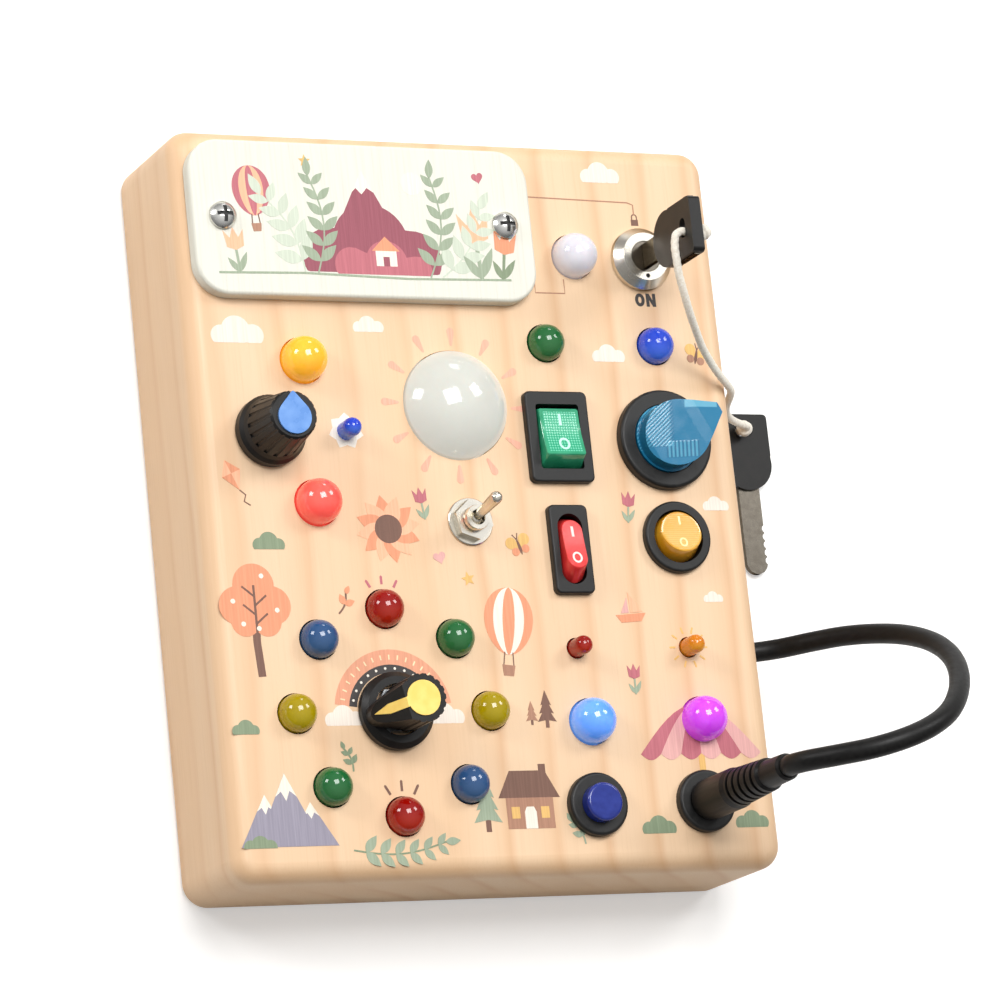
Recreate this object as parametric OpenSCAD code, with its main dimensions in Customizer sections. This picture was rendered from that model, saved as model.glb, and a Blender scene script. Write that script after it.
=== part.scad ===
// A toddler's wooden busy board: a routed pine block that carries real switches, knobs,
// a key lock, a power jack and push-fit lamps, with their wiring and battery box behind.
// The board lies on its back: Z rises out of the face, Y runs up the board.
// The origin is the middle of the back face.

/* [Board] */
// Width of the board, left to right
board_w = 158; // [152:1:190]
// Height of the board, bottom edge to top edge
board_h = 200; // [194:1:240]
// Thickness of the board, back to face
board_t = 38; // [36:1:50]
// Corner radius seen from the front
corner_r = 6.5; // [5.5:0.5:12]
// Rounding of the front edges
front_edge_r = 5; // [2:0.5:5]
// Rounding of the back edges
back_edge_r = 2; // [1:0.5:2]
// Wood left between the face and the routed cavity
panel_t = 5; // [4:0.5:6]
// Thickness of the side walls around the cavity
side_wall = 8; // [7.5:0.5:9]
// Corner radius of the routed cavity
cavity_r = 6; // [4:0.5:8]

/* [Back panel] */
// Thickness of the plywood back panel
back_t = 3; // [2.5:0.5:4]
// Width of the ledge that the back panel lies on
back_ledge = 5; // [4:0.5:5.5]
// Gap around the back panel and around the battery cover
back_clear = 0.2; // [0.1:0.05:0.4]
// Shank diameter of the back screws
back_screw_d = 2.6; // [2:0.1:3]
// Head diameter of the back screws
back_screw_head_d = 4.6; // [4:0.1:5]
// Length of the back screws
back_screw_l = 14; // [10:1:18]
// Gap between a screw's shank and its hole
screw_clear = 0.05; // [0.02:0.01:0.1]

/* [Name plate] */
// Gap between the plate and the board's left and top edges
plate_margin = [3, 4]; // [1:0.5:12]
// Width of the plate as a share of the board's width
plate_share = 0.62; // [0.5:0.01:0.63]
// Height of the plate
plate_h = 42.4; // [38:0.2:44]
// Thickness of the plate
plate_t = 4; // [3:0.5:6]
// Corner radius of the plate
plate_r = 9; // [5:0.5:12]
// Distance from the plate's ends to its screws
plate_screw_inset = 8.3; // [7:0.1:12]
// Shank diameter of the plate screws
plate_screw_d = 3; // [2.5:0.1:3.5]
// Head diameter of the plate screws
plate_head_d = 7.4; // [6:0.2:8]
// Head height of the plate screws
plate_head_h = 2.8; // [2.4:0.1:3.5]

/* [Lamps] */
// Diameter of the ring lamps and of the pair at the top right
led_d = 10; // [9:0.5:10.5]
// How far the straight part of a ring lamp stands out of the face
led_proud = 0.8; // [0.2:0.1:2]
// Diameter of the coloured domes
dome_d = 12; // [11:0.5:13]
// How far the straight part of a coloured dome stands out of the face
dome_proud = 1.8; // [0.5:0.1:3]
// Diameter of the small lamps
small_led_d = 5; // [4:0.5:6]
// How far the straight part of a small lamp stands out of the face
small_led_proud = 4.2; // [2:0.1:5]
// Diameter of the white sun dome
sun_d = 29.4; // [26:0.2:31]
// How far the rim of the sun dome stands out of the face
sun_rim = 0.8; // [0.4:0.1:2]
// Height of the sun dome's cap above its rim
sun_cap_h = 8; // [6:0.5:10]
// Gap between a lamp and its hole
lamp_gap = 0.35; // [0.2:0.05:0.5]
// How far a lamp's foot flange spreads under the panel
lamp_flange = 0.8; // [0.5:0.1:1.2]
// Thickness of the foot flange
lamp_flange_t = 1.6; // [1:0.1:2]
// Diameter of the lamp leads
lead_d = 0.6; // [0.5:0.1:0.8]
// Distance between the two leads of a lamp
lead_pitch = 2.54; // [2:0.02:3]
// Length of the lamp leads
lead_l = 9; // [8:0.5:10]
// Places of the coloured domes: amber, red, lavender, light blue, magenta
dome_place = [[-47.3, 37.2], [-47, -1.1], [35.1, 68], [25.3, -60], [58.4, -59.9]];
// Places of the small lamps: red, amber, blue
small_place = [[23.4, -40.2], [56.8, -40.2], [-36.8, 18.3]];
// Places of the pair of lamps at the top right: green, blue
pair_place = [[23.9, 43.4], [56.9, 43.3]];
// Place of the sun dome
sun_place = [-4.5, 25.8]; // [-30:0.1:40]

/* [Lamp ring] */
// Centre of the ring and of the selector
ring_place = [-31, -56.7]; // [-60:0.1:0]
// Radius of the ring
ring_r = 27.3; // [26.5:0.1:28]
// Number of lamps in the ring
ring_count = 8; // [8:8]
// Width of the ring circuit board each side of the lamps
ring_board_half = 5.2; // [4.5:0.1:5.4]
// Thickness of the ring circuit board
ring_board_t = 1.6; // [1:0.2:2]
// Gap between a lead and its hole in the circuit board
lead_clear = 0.15; // [0.1:0.05:0.25]

/* [Key lock] */
// Place of the key lock
key_place = [55.4, 67.6]; // [40:0.1:68]
// Diameter of the lock's chrome bezel
key_bezel_d = 17.4; // [16:0.2:19]
// Height of the bezel
key_bezel_h = 4; // [3:0.2:5]
// Diameter of the lock's threaded barrel
key_barrel_d = 13; // [12.4:0.2:14]
// Length of the barrel behind the face
key_barrel_l = 21; // [19:0.5:23]
// Diameter of the turning plug
key_plug_d = 8.8; // [8.6:0.1:9.6]
// Radial gap of the turning plug
turn_clear = 0.05; // [0.03:0.01:0.1]
// Thickness of the key's metal
key_t = 1.6; // [1.2:0.1:2]
// Width of the key's blade
blade_w = 6.6; // [5:0.1:7]
// Length of blade inside the lock
blade_in = 16; // [12:0.5:17]
// Bare neck between the lock and the plastic head
neck_l = 8; // [6:0.5:12]
// Gap between the key's metal and what it sits in
key_fit = 0.08; // [0.05:0.01:0.12]
// Width of the plastic head
head_w = 15.5; // [15:0.5:18]
// Length of the plastic head
head_l = 22; // [20:0.5:25]
// Thickness of the plastic head
head_t = 3.4; // [3.2:0.1:4]
// Width of the string slot in the head
slot_w = 3; // [2.9:0.1:3.4]
// Length of the string slot in the head
slot_l = 5.4; // [5:0.2:7]
// Width of the bar between the slot and the flat end
head_bar = 3.4; // [2.5:0.1:4]

/* [Rockers] */
// Places of the rockers: green, red, round
rocker_place = [[24.3, 17.1], [24.3, -13.7], [56.6, -10.2]];
// Width of each rocker's bezel
bezel_w = [18.5, 11.45, 19.6];
// Height of each rocker's bezel
bezel_h = [25, 24.2, 19.6];
// Thickness of the bezels
bezel_t = 2.2; // [1.6:0.1:3]
// Corner radius of the two straight bezels
bezel_corner_r = 1.6; // [1.2:0.2:2.4]
// Rounding of their front edges
bezel_edge_r = 0.6; // [0.4:0.1:1]
// Width of each bezel's opening
open_w = [12.7, 7.3, 14.6];
// Height of each bezel's opening
open_h = [17.8, 19.2, 14.6];
// Gap between a rocker and its opening at each side
rocker_gap = 0.3; // [0.25:0.05:0.4]
// Height of a rocker's ends over its pivot, in the middle position
rocker_end_h = 4.6; // [4:0.1:5]
// Depth of the hollow in a rocker's top
rocker_hollow = 2.6; // [2:0.1:3]
// Depth of a rocker below its pivot
rocker_drop = 4.2; // [3.5:0.1:5]
// Lean of a rocker each way
rocker_lean = 11; // [9:0.5:12]
// Depth of the switch housings behind the face
switch_depth = 18; // [16:0.5:20]
// How far a bezel covers the wood at each side
bezel_lip = 1.2; // [1:0.1:1.4]
// Diameter of the rockers' pivot pins
rocker_pin_d = 2.2; // [1.8:0.1:2.4]
// How far each pivot pin reaches into its housing
rocker_pin_reach = 0.7; // [0.5:0.05:0.8]
// Gap between a housing and its hole in the wood
panel_clear = 0.2; // [0.1:0.05:0.3]

/* [Round knob switch] */
// Place of the blue knob
blue_place = [56, 16.7]; // [40:0.1:60]
// Diameter of its bezel
blue_bezel_d = 27.4; // [25:0.2:29]
// Thickness of its bezel
blue_bezel_t = 3; // [2.6:0.1:4]
// Diameter of its barrel
blue_barrel_d = 21; // [19:0.5:22]
// Radius of the round end of the knob
blue_round_r = 9.3; // [8.5:0.1:9.8]
// Reach of the knob's beak from the axis
blue_beak = 15; // [13:0.1:16]
// Radius of the beak's tip
blue_tip_r = 1.6; // [1.2:0.1:2]
// Height of the knob over its bezel
blue_knob_h = 8.6; // [8:0.1:11]
// Direction of the beak
blue_angle = 28; // [0:1:60]
// Diameter of the knob's stem
blue_stem_d = 7; // [6:0.1:8]
// Depth of the bezel's dish that the knob turns in
dish_depth = 1.4; // [1:0.1:1.8]

/* [Volume knob] */
// Place of the volume knob
pot_place = [-58.7, 17.6]; // [-62:0.1:-50]
// Diameter of the knob's skirt
pot_skirt_d = 18.8; // [18:0.1:20]
// Height of the knob
pot_knob_h = 17.5; // [15:0.5:19]
// Diameter of the knob at its top
pot_top_d = 13; // [12:0.1:14]
// Number of grip flutes on both knobs
flutes = 18; // [12:1:24]
// Diameter of the sensor body behind the panel
pot_body_d = 16.6; // [16:0.2:18]
// Thickness of the sensor body
pot_body_t = 9; // [7:0.5:11]
// Diameter of the knob shafts
shaft_d = 6; // [5:0.1:6.4]
// Diameter of the threaded bushings around the shafts
bushing_d = 8; // [7.6:0.1:9]
// How far the bushings stand out of the face
bushing_out = 4.2; // [3.6:0.1:4.6]
// Width across the flats of the bushing nuts
bushing_nut_af = 11; // [10.4:0.2:11.6]
// Thickness of the bushing nuts
bushing_nut_t = 2.2; // [1.6:0.1:2.8]
// Gap between a knob and the face
knob_gap = 0.4; // [0.3:0.05:0.8]

/* [Selector knob] */
// Diameter of the selector's skirt
sel_skirt_d = 20.4; // [19:0.2:22]
// Height of the selector knob
sel_knob_h = 16.6; // [15:0.2:19]
// Diameter of its round grip
sel_grip_d = 12.8; // [12:0.1:13.6]
// Direction of the pointer
sel_angle = 193; // [170:1:200]
// Diameter of the selector switch behind the panel
sel_body_d = 26; // [24:0.5:30]
// Thickness of the selector switch
sel_body_t = 12; // [10:0.5:14]

/* [Toggle] */
// Place of the toggle switch
toggle_place = [-3.8, -6]; // [-20:0.1:10]
// Turn of the toggle switch about its own axis
toggle_turn = -18; // [-40:1:40]
// Lean of the lever each way
toggle_lean = 13; // [9:0.5:14]
// Diameter of the toggle's bushing
toggle_bushing_d = 6.4; // [6:0.1:7]
// How far the bushing stands out of the face
toggle_bushing_out = 5.4; // [4.6:0.1:6]
// Diameter of the lever's pivot ball
toggle_ball_d = 4; // [3.6:0.1:4.2]
// Diameter of the lever's pivot pin
toggle_pin_d = 1.2; // [1:0.1:1.5]
// How far the pin reaches into the bushing at each side
toggle_pin_reach = 0.6; // [0.4:0.1:0.8]
// Length of the lever over its pivot
toggle_lever_l = 14; // [11:0.5:16]
// Diameter of the lever's rounded end
toggle_tip_d = 3.3; // [3:0.1:4]
// Diameter of the lever where it leaves the ball
toggle_neck_d = 2.2; // [2:0.1:3]
// Length of the lever's tail below the pivot
toggle_tail_l = 4; // [3:0.1:5]
// Diameter of the lever's tail
toggle_tail_d = 1.5; // [1.2:0.1:2]
// Diameter of the washer
toggle_washer_d = 12.8; // [12:0.2:14]
// Thickness of the washer
toggle_washer_t = 0.8; // [0.6:0.1:1]
// Width, length and depth of the toggle's body behind the panel
toggle_box = [8, 13.2, 9]; // [7:0.1:14]
// Distance between the toggle's terminals
toggle_pin_pitch = 4.4; // [4:0.1:5]
// Width across the flats of the toggle's nut
toggle_nut_af = 9.6; // [9:0.1:10.5]
// Thickness of the toggle's nut
toggle_nut_t = 2.4; // [2:0.1:3]

/* [Push button] */
// Place of the push button
button_place = [24.1, -82.3]; // [10:0.1:40]
// Diameter of its bezel
button_bezel_d = 16.8; // [16:0.2:18]
// Height of its bezel
button_bezel_h = 2.6; // [2:0.1:3]
// Diameter of the button's cap
button_cap_d = 10.2; // [9.8:0.1:10.8]
// How far the cap stands out of the bezel
button_proud = 3.4; // [3:0.1:4]
// Travel of the button
button_travel = 2.5; // [1.5:0.1:2.8]
// Diameter of the threaded barrels of the button and the jack
barrel_d = 13.4; // [13:0.1:13.8]
// Diameter of the plunger under the cap
plunger_d = 4; // [3.6:0.1:5]
// How far the plunger reaches below the spring
plunger_l = 5; // [4:0.1:7]
// Wire diameter of the button's spring
spring_wire_d = 0.6; // [0.4:0.1:0.8]
// Mean diameter of the button's spring
spring_d = 8; // [7:0.1:8.4]
// Number of turns of the spring
spring_turns = 5; // [4:1:6]

/* [Power jack and plug] */
// Place of the power jack
jack_place = [56.2, -82.1]; // [40:0.1:58]
// Diameter of the jack's flange
jack_flange_d = 16.6; // [16:0.2:18]
// Height of the jack's flange
jack_flange_h = 2.6; // [2:0.1:3]
// Diameter of the plug's metal barrel
plug_d = 5.5; // [5:0.1:6]
// Radial gap between the plug's barrel and the jack
plug_clear = 0.08; // [0.05:0.01:0.1]
// Length of the plug's metal barrel
plug_l = 9.5; // [8:0.5:11]
// Bore of the plug's metal barrel
plug_bore_d = 2.5; // [2.2:0.1:2.8]
// Diameter of the jack's centre pin
jack_pin_d = 2; // [1.6:0.1:2]
// Diameter of the plug's grip
grip_d = 11; // [10:0.2:12]
// Height of the plug's top over the face
grip_top = 47; // [47:47]
// Number of grooves in the plug's grip
grip_grooves = 5; // [3:1:6]
// Diameter of the cable
cable_d = 5.5; // [5:0.1:6]
// Place of the cable's hole in the right side, up the board and over the back
cable_hole_place = [-37.8, 19]; // [-40:0.1:22]
// Gap between the cable and its grommet
cable_gap = 0.1; // [0.05:0.05:0.3]

/* [String] */
// Diameter of the key string
string_d = 2.2; // [1.8:0.1:2.3]
// Diameter of its knots
knot_d = 4.6; // [4:0.1:5]

/* [Batteries] */
// Place of the battery box across the board, and its gap to the cavity's top wall
box_place = [-27, 1.75]; // [-34:0.25:8]
// Diameter of a battery
cell_d = 10.5; // [10:0.1:10.5]
// Length of a battery
cell_l = 44.5; // [42:0.5:45]
// Number of batteries
cell_count = 3; // [2:1:3]
// Wall of the battery box
box_wall = 1.5; // [1.2:0.1:2]
// Room at each end of the batteries for the contacts
contact_room = 2.6; // [2.2:0.1:3.5]
// Width of the screw post beside the batteries
post_w = 7; // [6.6:0.2:8]
// Thickness of the contact metal
contact_t = 0.5; // [0.3:0.1:0.6]

/* [Hidden] */
$fn = 48;

eps = 0.01;
// The size of the board that the places above are given for: on another board the outer pieces keep
// their distance to its edges, and the inner ones spread out or close up with it
layout_w = 158;
layout_h = 200;
layout_t = 38;
side_shift = (board_w - layout_w) / 2;
end_shift = (board_h - layout_h) / 2;
thick_shift = board_t - layout_t;
wide = board_w / layout_w;
tall = board_h / layout_h;
function spread(p) = [p[0] * wide, p[1] * tall];
function by_right(p) = [p[0] + side_shift, p[1] * tall];
function by_top(p) = [p[0] * wide, p[1] + end_shift];
function by_base(p) = [p[0] * wide, p[1] - end_shift];
function top_right(p) = [p[0] + side_shift, p[1] + end_shift];
function base_right(p) = [p[0] + side_shift, p[1] - end_shift];
plate_w = board_w * plate_share;
plate_at = [(plate_w - board_w) / 2 + plate_margin[0], (board_h - plate_h) / 2 - plate_margin[1]];
plate_screw_span = plate_w - 2 * plate_screw_inset;
dome_at = [spread(dome_place[0]), spread(dome_place[1]), by_top(dome_place[2]),
    by_base(dome_place[3]), base_right(dome_place[4])];
small_at = [spread(small_place[0]), by_right(small_place[1]), spread(small_place[2])];
pair_at = [spread(pair_place[0]), by_right(pair_place[1])];
sun_at = spread(sun_place);
ring_at = by_base(ring_place);
key_at = top_right(key_place);
rocker_at = [spread(rocker_place[0]), spread(rocker_place[1]), by_right(rocker_place[2])];
blue_at = by_right(blue_place);
pot_at = spread(pot_place);
toggle_at = spread(toggle_place);
button_at = by_base(button_place);
jack_at = base_right(jack_place);
cable_hole_at = [cable_hole_place[0] - end_shift, cable_hole_place[1] + thick_shift / 2];
face_z = board_t;
under_z = face_z - panel_t;
socket_w = board_w - 2 * (side_wall - back_ledge);
socket_h = board_h - 2 * (side_wall - back_ledge);
socket_r = cavity_r + back_ledge / 2;
screw_inset = side_wall - back_ledge / 2;
inner_l = cell_l + 2 * contact_room + post_w + box_wall;
inner_w = cell_count * (cell_d + 0.4) + 0.8;
inner_h = cell_d + 1.5;
box_lip = 1;
box_l = inner_l + 2 * box_wall;
box_w = inner_w + 2 * box_wall;
box_at = [box_place[0] * wide, board_h / 2 - side_wall - box_w / 2 - box_place[1]];
box_top = back_t + inner_h + box_wall;
cell_x = box_at[0] - inner_l / 2 + contact_room + cell_l / 2;
post_x = box_at[0] + inner_l / 2 - post_w / 2;
lead_end_z = under_z - lamp_flange_t - lead_l;
ring_board_z = lead_end_z + 1;
wire_d = 1.6;
wire_z = back_t + 1.6;
wire_gap = 0.1;
bend_run = 1.8;
trunk_z = wire_z + 3.6;
trunk_x = 40;
trunk_half = 1;
left_trunk_x = -14;
pin_l = 4;
toggle_pin_l = 3.5;
pin_t = 0.8;
pivot_z = face_z - 0.4;
nut_t = 2.6;
toggle_pivot = face_z + toggle_bushing_out - 2.2;
grip_base = face_z + jack_flange_h + 0.3;
plug_tip = grip_base - plug_l;
blade_z = face_z + key_bezel_h;
head_z = blade_z + neck_l;
slot_v = head_l - head_bar - slot_w / 2;
cap_bottom = face_z - 1;
spring_floor = face_z - 8;
floor_key_at = [101 + side_shift, 12.6 + end_shift];
// Points along the power cable, from inside the case to the plug
cable_route = [[67, -37.8, 19], [73, -37.8, 19], [79, -37.8, 19], [86, -37.7, 19.6], [93, -37.4, 23],
    [99, -37.2, 30], [104, -37.6, 38.6], [108.4, -39, 47.6], [111.6, -41.4, 57], [113, -45, 66.6],
    [112.6, -49.6, 75.6], [110.4, -55, 83.8], [106.4, -61, 91.4], [101, -67, 98], [94.6, -72.4, 103],
    [87, -76.6, 106], [78.8, -79.6, 106.4], [70.8, -81.4, 103.6], [63.6, -82, 98.4], [58.2, -82.1, 92.4],
    [56.2, -82.1, 88], [56.2, -82.1, 85.1]];
// Points along the key string, from the knot behind the key in the lock to the spare key
string_route = [[61.8, 66.6, 67.1], [61, 66.6, 67.1], [59.8, 66.6, 67.1], [58.6, 66.6, 67.1],
    [57.7, 66.6, 67.1], [55.4, 66.6, 67.1], [53, 66.6, 67.1], [51.4, 65.4, 67], [51, 62.4, 66.6],
    [51.4, 59, 66], [52.4, 55.4, 64.6], [54.6, 51, 62.2], [57.6, 46.8, 58.6], [61.4, 43.2, 54],
    [65.2, 40, 49.6], [69.2, 37.2, 45.8], [73, 34.6, 42.8], [76.6, 32.8, 40], [79.6, 31.6, 36.8],
    [81.4, 31, 32.6], [83, 30.6, 28], [85, 30.4, 23.4], [87.8, 30.2, 18.6], [91.2, 30, 14.4],
    [94.8, 29.9, 11.2], [97.8, 29.8, 9.4], [99.3, 29.7, 8.4], [99.8, 29.7, 7.2], [99.9, 29.7, 6],
    [99.9, 29.7, 4.8], [99.9, 29.7, 3.9], [99.9, 29.7, 2.6], [99.9, 29.7, 1.2]];
cable_points = [for (p = cable_route)
    [p[0] + side_shift, p[1] - end_shift, p[2] + thick_shift * (p[2] < layout_t ? 0.5 : 1)]];
string_points = [for (p = string_route)
    [p[0] + side_shift, p[1] + end_shift, p[2] + (p[2] < layout_t ? 0 : thick_shift)]];
// The string's thickness there, as shares of the knot at both knots
string_swell = [0.3, 0.8, 1, 0.8, 0.05];

// ---- flat shapes ----

module rounded_rect(w, h, r) {
    square([w - 2 * r, h], center = true);
    square([w, h - 2 * r], center = true);
    for (sx = [-1, 1], sy = [-1, 1])
        translate([sx * (w / 2 - r), sy * (h / 2 - r)]) circle(r);
}

// half of an edge section: x from the middle out to half, y from 0 to t
module edge_section(half, t, top_r, low_r) {
    intersection() {
        translate([0, 0]) square([half, t]);
        union() {
            translate([0, low_r]) square([half, t - top_r - low_r]);
            square([half - low_r, t / 2]);
            translate([0, t / 2]) square([half - top_r, t / 2]);
            translate([half - top_r, t - top_r]) circle(top_r);
            if (low_r > 0) translate([half - low_r, low_r]) circle(low_r);
        }
    }
}

// a block with rounded corners and rounded front and back edges, standing on z = 0
module rounded_block(w, h, t, r, top_r, low_r) {
    for (sx = [-1, 1], sy = [-1, 1])
        translate([sx * (w / 2 - r), sy * (h / 2 - r), 0])
            rotate_extrude() edge_section(r, t, top_r, low_r);
    rotate([90, 0, 0]) linear_extrude(h - 2 * r, center = true)
        for (m = [0, 1]) mirror([m, 0]) edge_section(w / 2, t, top_r, low_r);
    rotate([90, 0, 90]) linear_extrude(w - 2 * r, center = true)
        for (m = [0, 1]) mirror([m, 0]) edge_section(h / 2, t, top_r, low_r);
}

module slab(w, h, t, r) linear_extrude(t) rounded_rect(w, h, r);

// a round end and a smaller round tip at distance d along X, joined by their outer tangents
module teardrop(r1, r2, d) {
    a = acos((r1 - r2) / d);
    round_n = 36;
    tip_n = 8;
    polygon([for (i = [0:round_n]) let (t = a + (360 - 2 * a) * i / round_n) [r1 * cos(t), r1 * sin(t)],
        for (i = [0:tip_n]) let (t = -a + 2 * a * i / tip_n) [d + r2 * cos(t), r2 * sin(t)]]);
}

module hexagon(af) circle(d = af / cos(30), $fn = 6);

// ---- swept tubes ----

function unit(v) = v / norm(v);
function travel(p, i) = unit(p[min(i + 1, len(p) - 1)] - p[max(i - 1, 0)]);
// the side direction is carried along the path so that the tube doesn't twist
function sides(p, i = 0, last = [0, 0, 0]) = i == len(p) ? [] :
    let (t = travel(p, i),
        guess = i == 0 ? (abs(t[2]) < 0.8 ? [0, 0, 1] : [0, 1, 0]) : last,
        s = unit(guess - (guess * t) * t))
    concat([s], sides(p, i + 1, s));
function ring(c, t, s, r, n) = [for (k = [0:n - 1]) let (a = 360 * k / n)
    c + r * (cos(a) * s + sin(a) * cross(t, s))];

// d is one diameter, or a list with one for each point
module tube(p, d, n) {
    s = sides(p);
    pts = [for (i = [0:len(p) - 1]) each ring(p[i], travel(p, i), s[i], (is_list(d) ? d[i] : d) / 2, n)];
    last = (len(p) - 1) * n;
    walls = [for (i = [0:len(p) - 2], k = [0:n - 1]) let (a = i * n + k, b = i * n + (k + 1) % n)
        each [[a, b, a + n], [b, b + n, a + n]]];
    ends = [[for (k = [0:n - 1]) n - 1 - k], [for (k = [0:n - 1]) last + k]];
    polyhedron(points = pts, faces = concat(walls, ends), convexity = 6);
}

// ---- small parts that repeat ----

module leads(z_top, l) for (s = [-1, 1])
    translate([s * lead_pitch / 2, 0, z_top - l]) cylinder(d = lead_d, h = l);

// a lamp held from behind by its foot flange, with a straight part and a round end
module lamp(d, proud) {
    top = face_z + proud;
    rotate_extrude() intersection() {
        translate([0, under_z - lamp_flange_t]) square([d, top + d]);
        union() {
            translate([0, under_z - lamp_flange_t]) square([d / 2, top - under_z + lamp_flange_t]);
            translate([0, under_z - lamp_flange_t]) square([d / 2 + lamp_flange, lamp_flange_t]);
            translate([0, top]) circle(d / 2);
        }
    }
    leads(under_z - lamp_flange_t, lead_l);
}

module put(at) translate([at[0], at[1], 0]) children();

module ring_spot(i) put(ring_at) rotate(90 - i * 360 / ring_count) translate([ring_r, 0, 0])
    rotate(i * 360 / ring_count - 90) children();

module ring_lamps(colour_at) for (i = [colour_at:4:ring_count - 1]) ring_spot(i) lamp(led_d, led_proud);

module lamp_hole(d) translate([0, 0, under_z - eps]) cylinder(d = d + 2 * lamp_gap, h = panel_t + 2 * eps);

module panel_hole(d) translate([0, 0, under_z - eps])
    cylinder(d = d + 2 * panel_clear, h = panel_t + 2 * eps);

module cross_recess(w, depth, t) for (a = [0, 90])
    rotate(a) translate([-w / 2, -t / 2, 0]) cube([w, t, depth]);

// a countersunk screw pointing up from the back face
module back_screw() difference() {
    union() {
        cylinder(d1 = back_screw_head_d, d2 = back_screw_d, h = (back_screw_head_d - back_screw_d) / 2);
        cylinder(d = back_screw_d, h = back_screw_l);
    }
    translate([0, 0, -eps]) cross_recess(back_screw_head_d * 0.6, 0.8, 0.6);
}

module back_screw_hole() {
    d = back_screw_d + 2 * screw_clear;
    head = back_screw_head_d + 2 * screw_clear;
    translate([0, 0, -eps]) cylinder(d1 = head + 2 * eps, d2 = d, h = (head - d) / 2 + eps);
    translate([0, 0, -eps]) cylinder(d = d, h = back_screw_l + 0.5);
}

module screw_places() {
    x = board_w / 2 - screw_inset;
    y = board_h / 2 - screw_inset;
    for (sx = [-1, 1], sy = [-1, 0, 1]) translate([sx * x, sy * (y - cavity_r), 0]) children();
}

module cover_screw_place() translate([post_x, box_at[1], 0]) children();

module plate_screw_places() for (s = [-1, 1])
    translate([plate_at[0] + s * plate_screw_span / 2, plate_at[1], 0]) children();

// ---- the wooden block ----

module rocker_cutout(i) put(rocker_at[i]) translate([0, 0, under_z - eps])
    if (i == 2) cylinder(d = bezel_w[i] - 2 * bezel_lip + 2 * panel_clear, h = panel_t + 2 * eps);
    else linear_extrude(panel_t + 2 * eps)
        square([bezel_w[i] - 2 * bezel_lip + 2 * panel_clear,
            bezel_h[i] - 2 * bezel_lip + 2 * panel_clear], center = true);

module wooden_case() color("burlywood") difference() {
    rounded_block(board_w, board_h, board_t, corner_r, front_edge_r, back_edge_r);
    translate([0, 0, -eps])
        slab(board_w - 2 * side_wall, board_h - 2 * side_wall, under_z + eps, cavity_r);
    translate([0, 0, -eps]) slab(socket_w, socket_h, back_t + eps, socket_r);
    screw_places() translate([0, 0, back_t]) cylinder(d = back_screw_d + 2 * screw_clear,
        h = back_screw_l + 0.5 - back_t);
    plate_screw_places() translate([0, 0, under_z - eps])
        cylinder(d = plate_screw_d + 2 * screw_clear, h = panel_t + 2 * eps);
    for (at = dome_at) put(at) lamp_hole(dome_d);
    for (at = small_at) put(at) lamp_hole(small_led_d);
    for (at = pair_at) put(at) lamp_hole(led_d);
    for (i = [0:ring_count - 1]) ring_spot(i) lamp_hole(led_d);
    put(sun_at) lamp_hole(sun_d);
    for (i = [0:2]) rocker_cutout(i);
    put(blue_at) panel_hole(blue_barrel_d);
    put(key_at) panel_hole(key_barrel_d);
    put(pot_at) panel_hole(bushing_d);
    put(ring_at) panel_hole(bushing_d);
    put(toggle_at) panel_hole(toggle_bushing_d);
    put(button_at) panel_hole(barrel_d);
    put(jack_at) panel_hole(barrel_d);
    translate([board_w / 2 - side_wall - eps, cable_hole_at[0], cable_hole_at[1]])
        rotate([0, 90, 0]) cylinder(d = cable_d + 4 * cable_gap + 2.4, h = side_wall + 2 * eps);
}

module back_panel() color("tan") difference() {
    slab(socket_w - 2 * back_clear, socket_h - 2 * back_clear, back_t, socket_r - back_clear);
    screw_places() back_screw_hole();
    put(box_at) translate([0, 0, -eps])
        slab(inner_l + 2 * box_lip, inner_w + 2 * box_lip, back_t + 2 * eps, box_lip);
}

module back_screws() color("silver") {
    screw_places() back_screw();
    cover_screw_place() back_screw();
}

module name_plate() color("white") difference() {
    translate([plate_at[0], plate_at[1], face_z])
        rounded_block(plate_w, plate_h, plate_t, plate_r, plate_t / 4, 0);
    plate_screw_places() translate([0, 0, face_z - eps])
        cylinder(d = plate_screw_d + 2 * screw_clear, h = plate_t + 2 * eps);
}

module name_plate_screws() color("silver") plate_screw_places() {
    dome_r = (pow(plate_head_d / 2, 2) + pow(plate_head_h * 0.7, 2)) / (plate_head_h * 1.4);
    translate([0, 0, under_z]) cylinder(d = plate_screw_d, h = panel_t + plate_t + eps);
    translate([0, 0, face_z + plate_t]) difference() {
        intersection() {
            cylinder(d = plate_head_d, h = plate_head_h);
            translate([0, 0, plate_head_h - dome_r]) sphere(dome_r, $fn = 64);
        }
        translate([0, 0, plate_head_h - 1.5]) cross_recess(plate_head_d * 0.6, 2, 1);
    }
}

// ---- batteries ----

module battery_box() color("dimgray") difference() {
    put(box_at) translate([0, 0, back_t]) slab(box_l, box_w, inner_h + box_wall, box_wall);
    translate([box_at[0] - post_w / 2 - box_wall / 2, box_at[1], back_t - eps])
        slab(inner_l - post_w - box_wall, inner_w, inner_h + eps, box_wall / 2);
    cover_screw_place() translate([0, 0, back_t - eps])
        cylinder(d = back_screw_d + 2 * screw_clear, h = back_screw_l - back_t + 0.5);
    for (sy = [-1, 1]) translate([post_x - post_w / 2 - eps, box_at[1] + sy * inner_w / 4 - inner_w / 8,
        back_t - eps]) cube([post_w + eps, inner_w / 4, inner_h - 2]);
}

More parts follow.
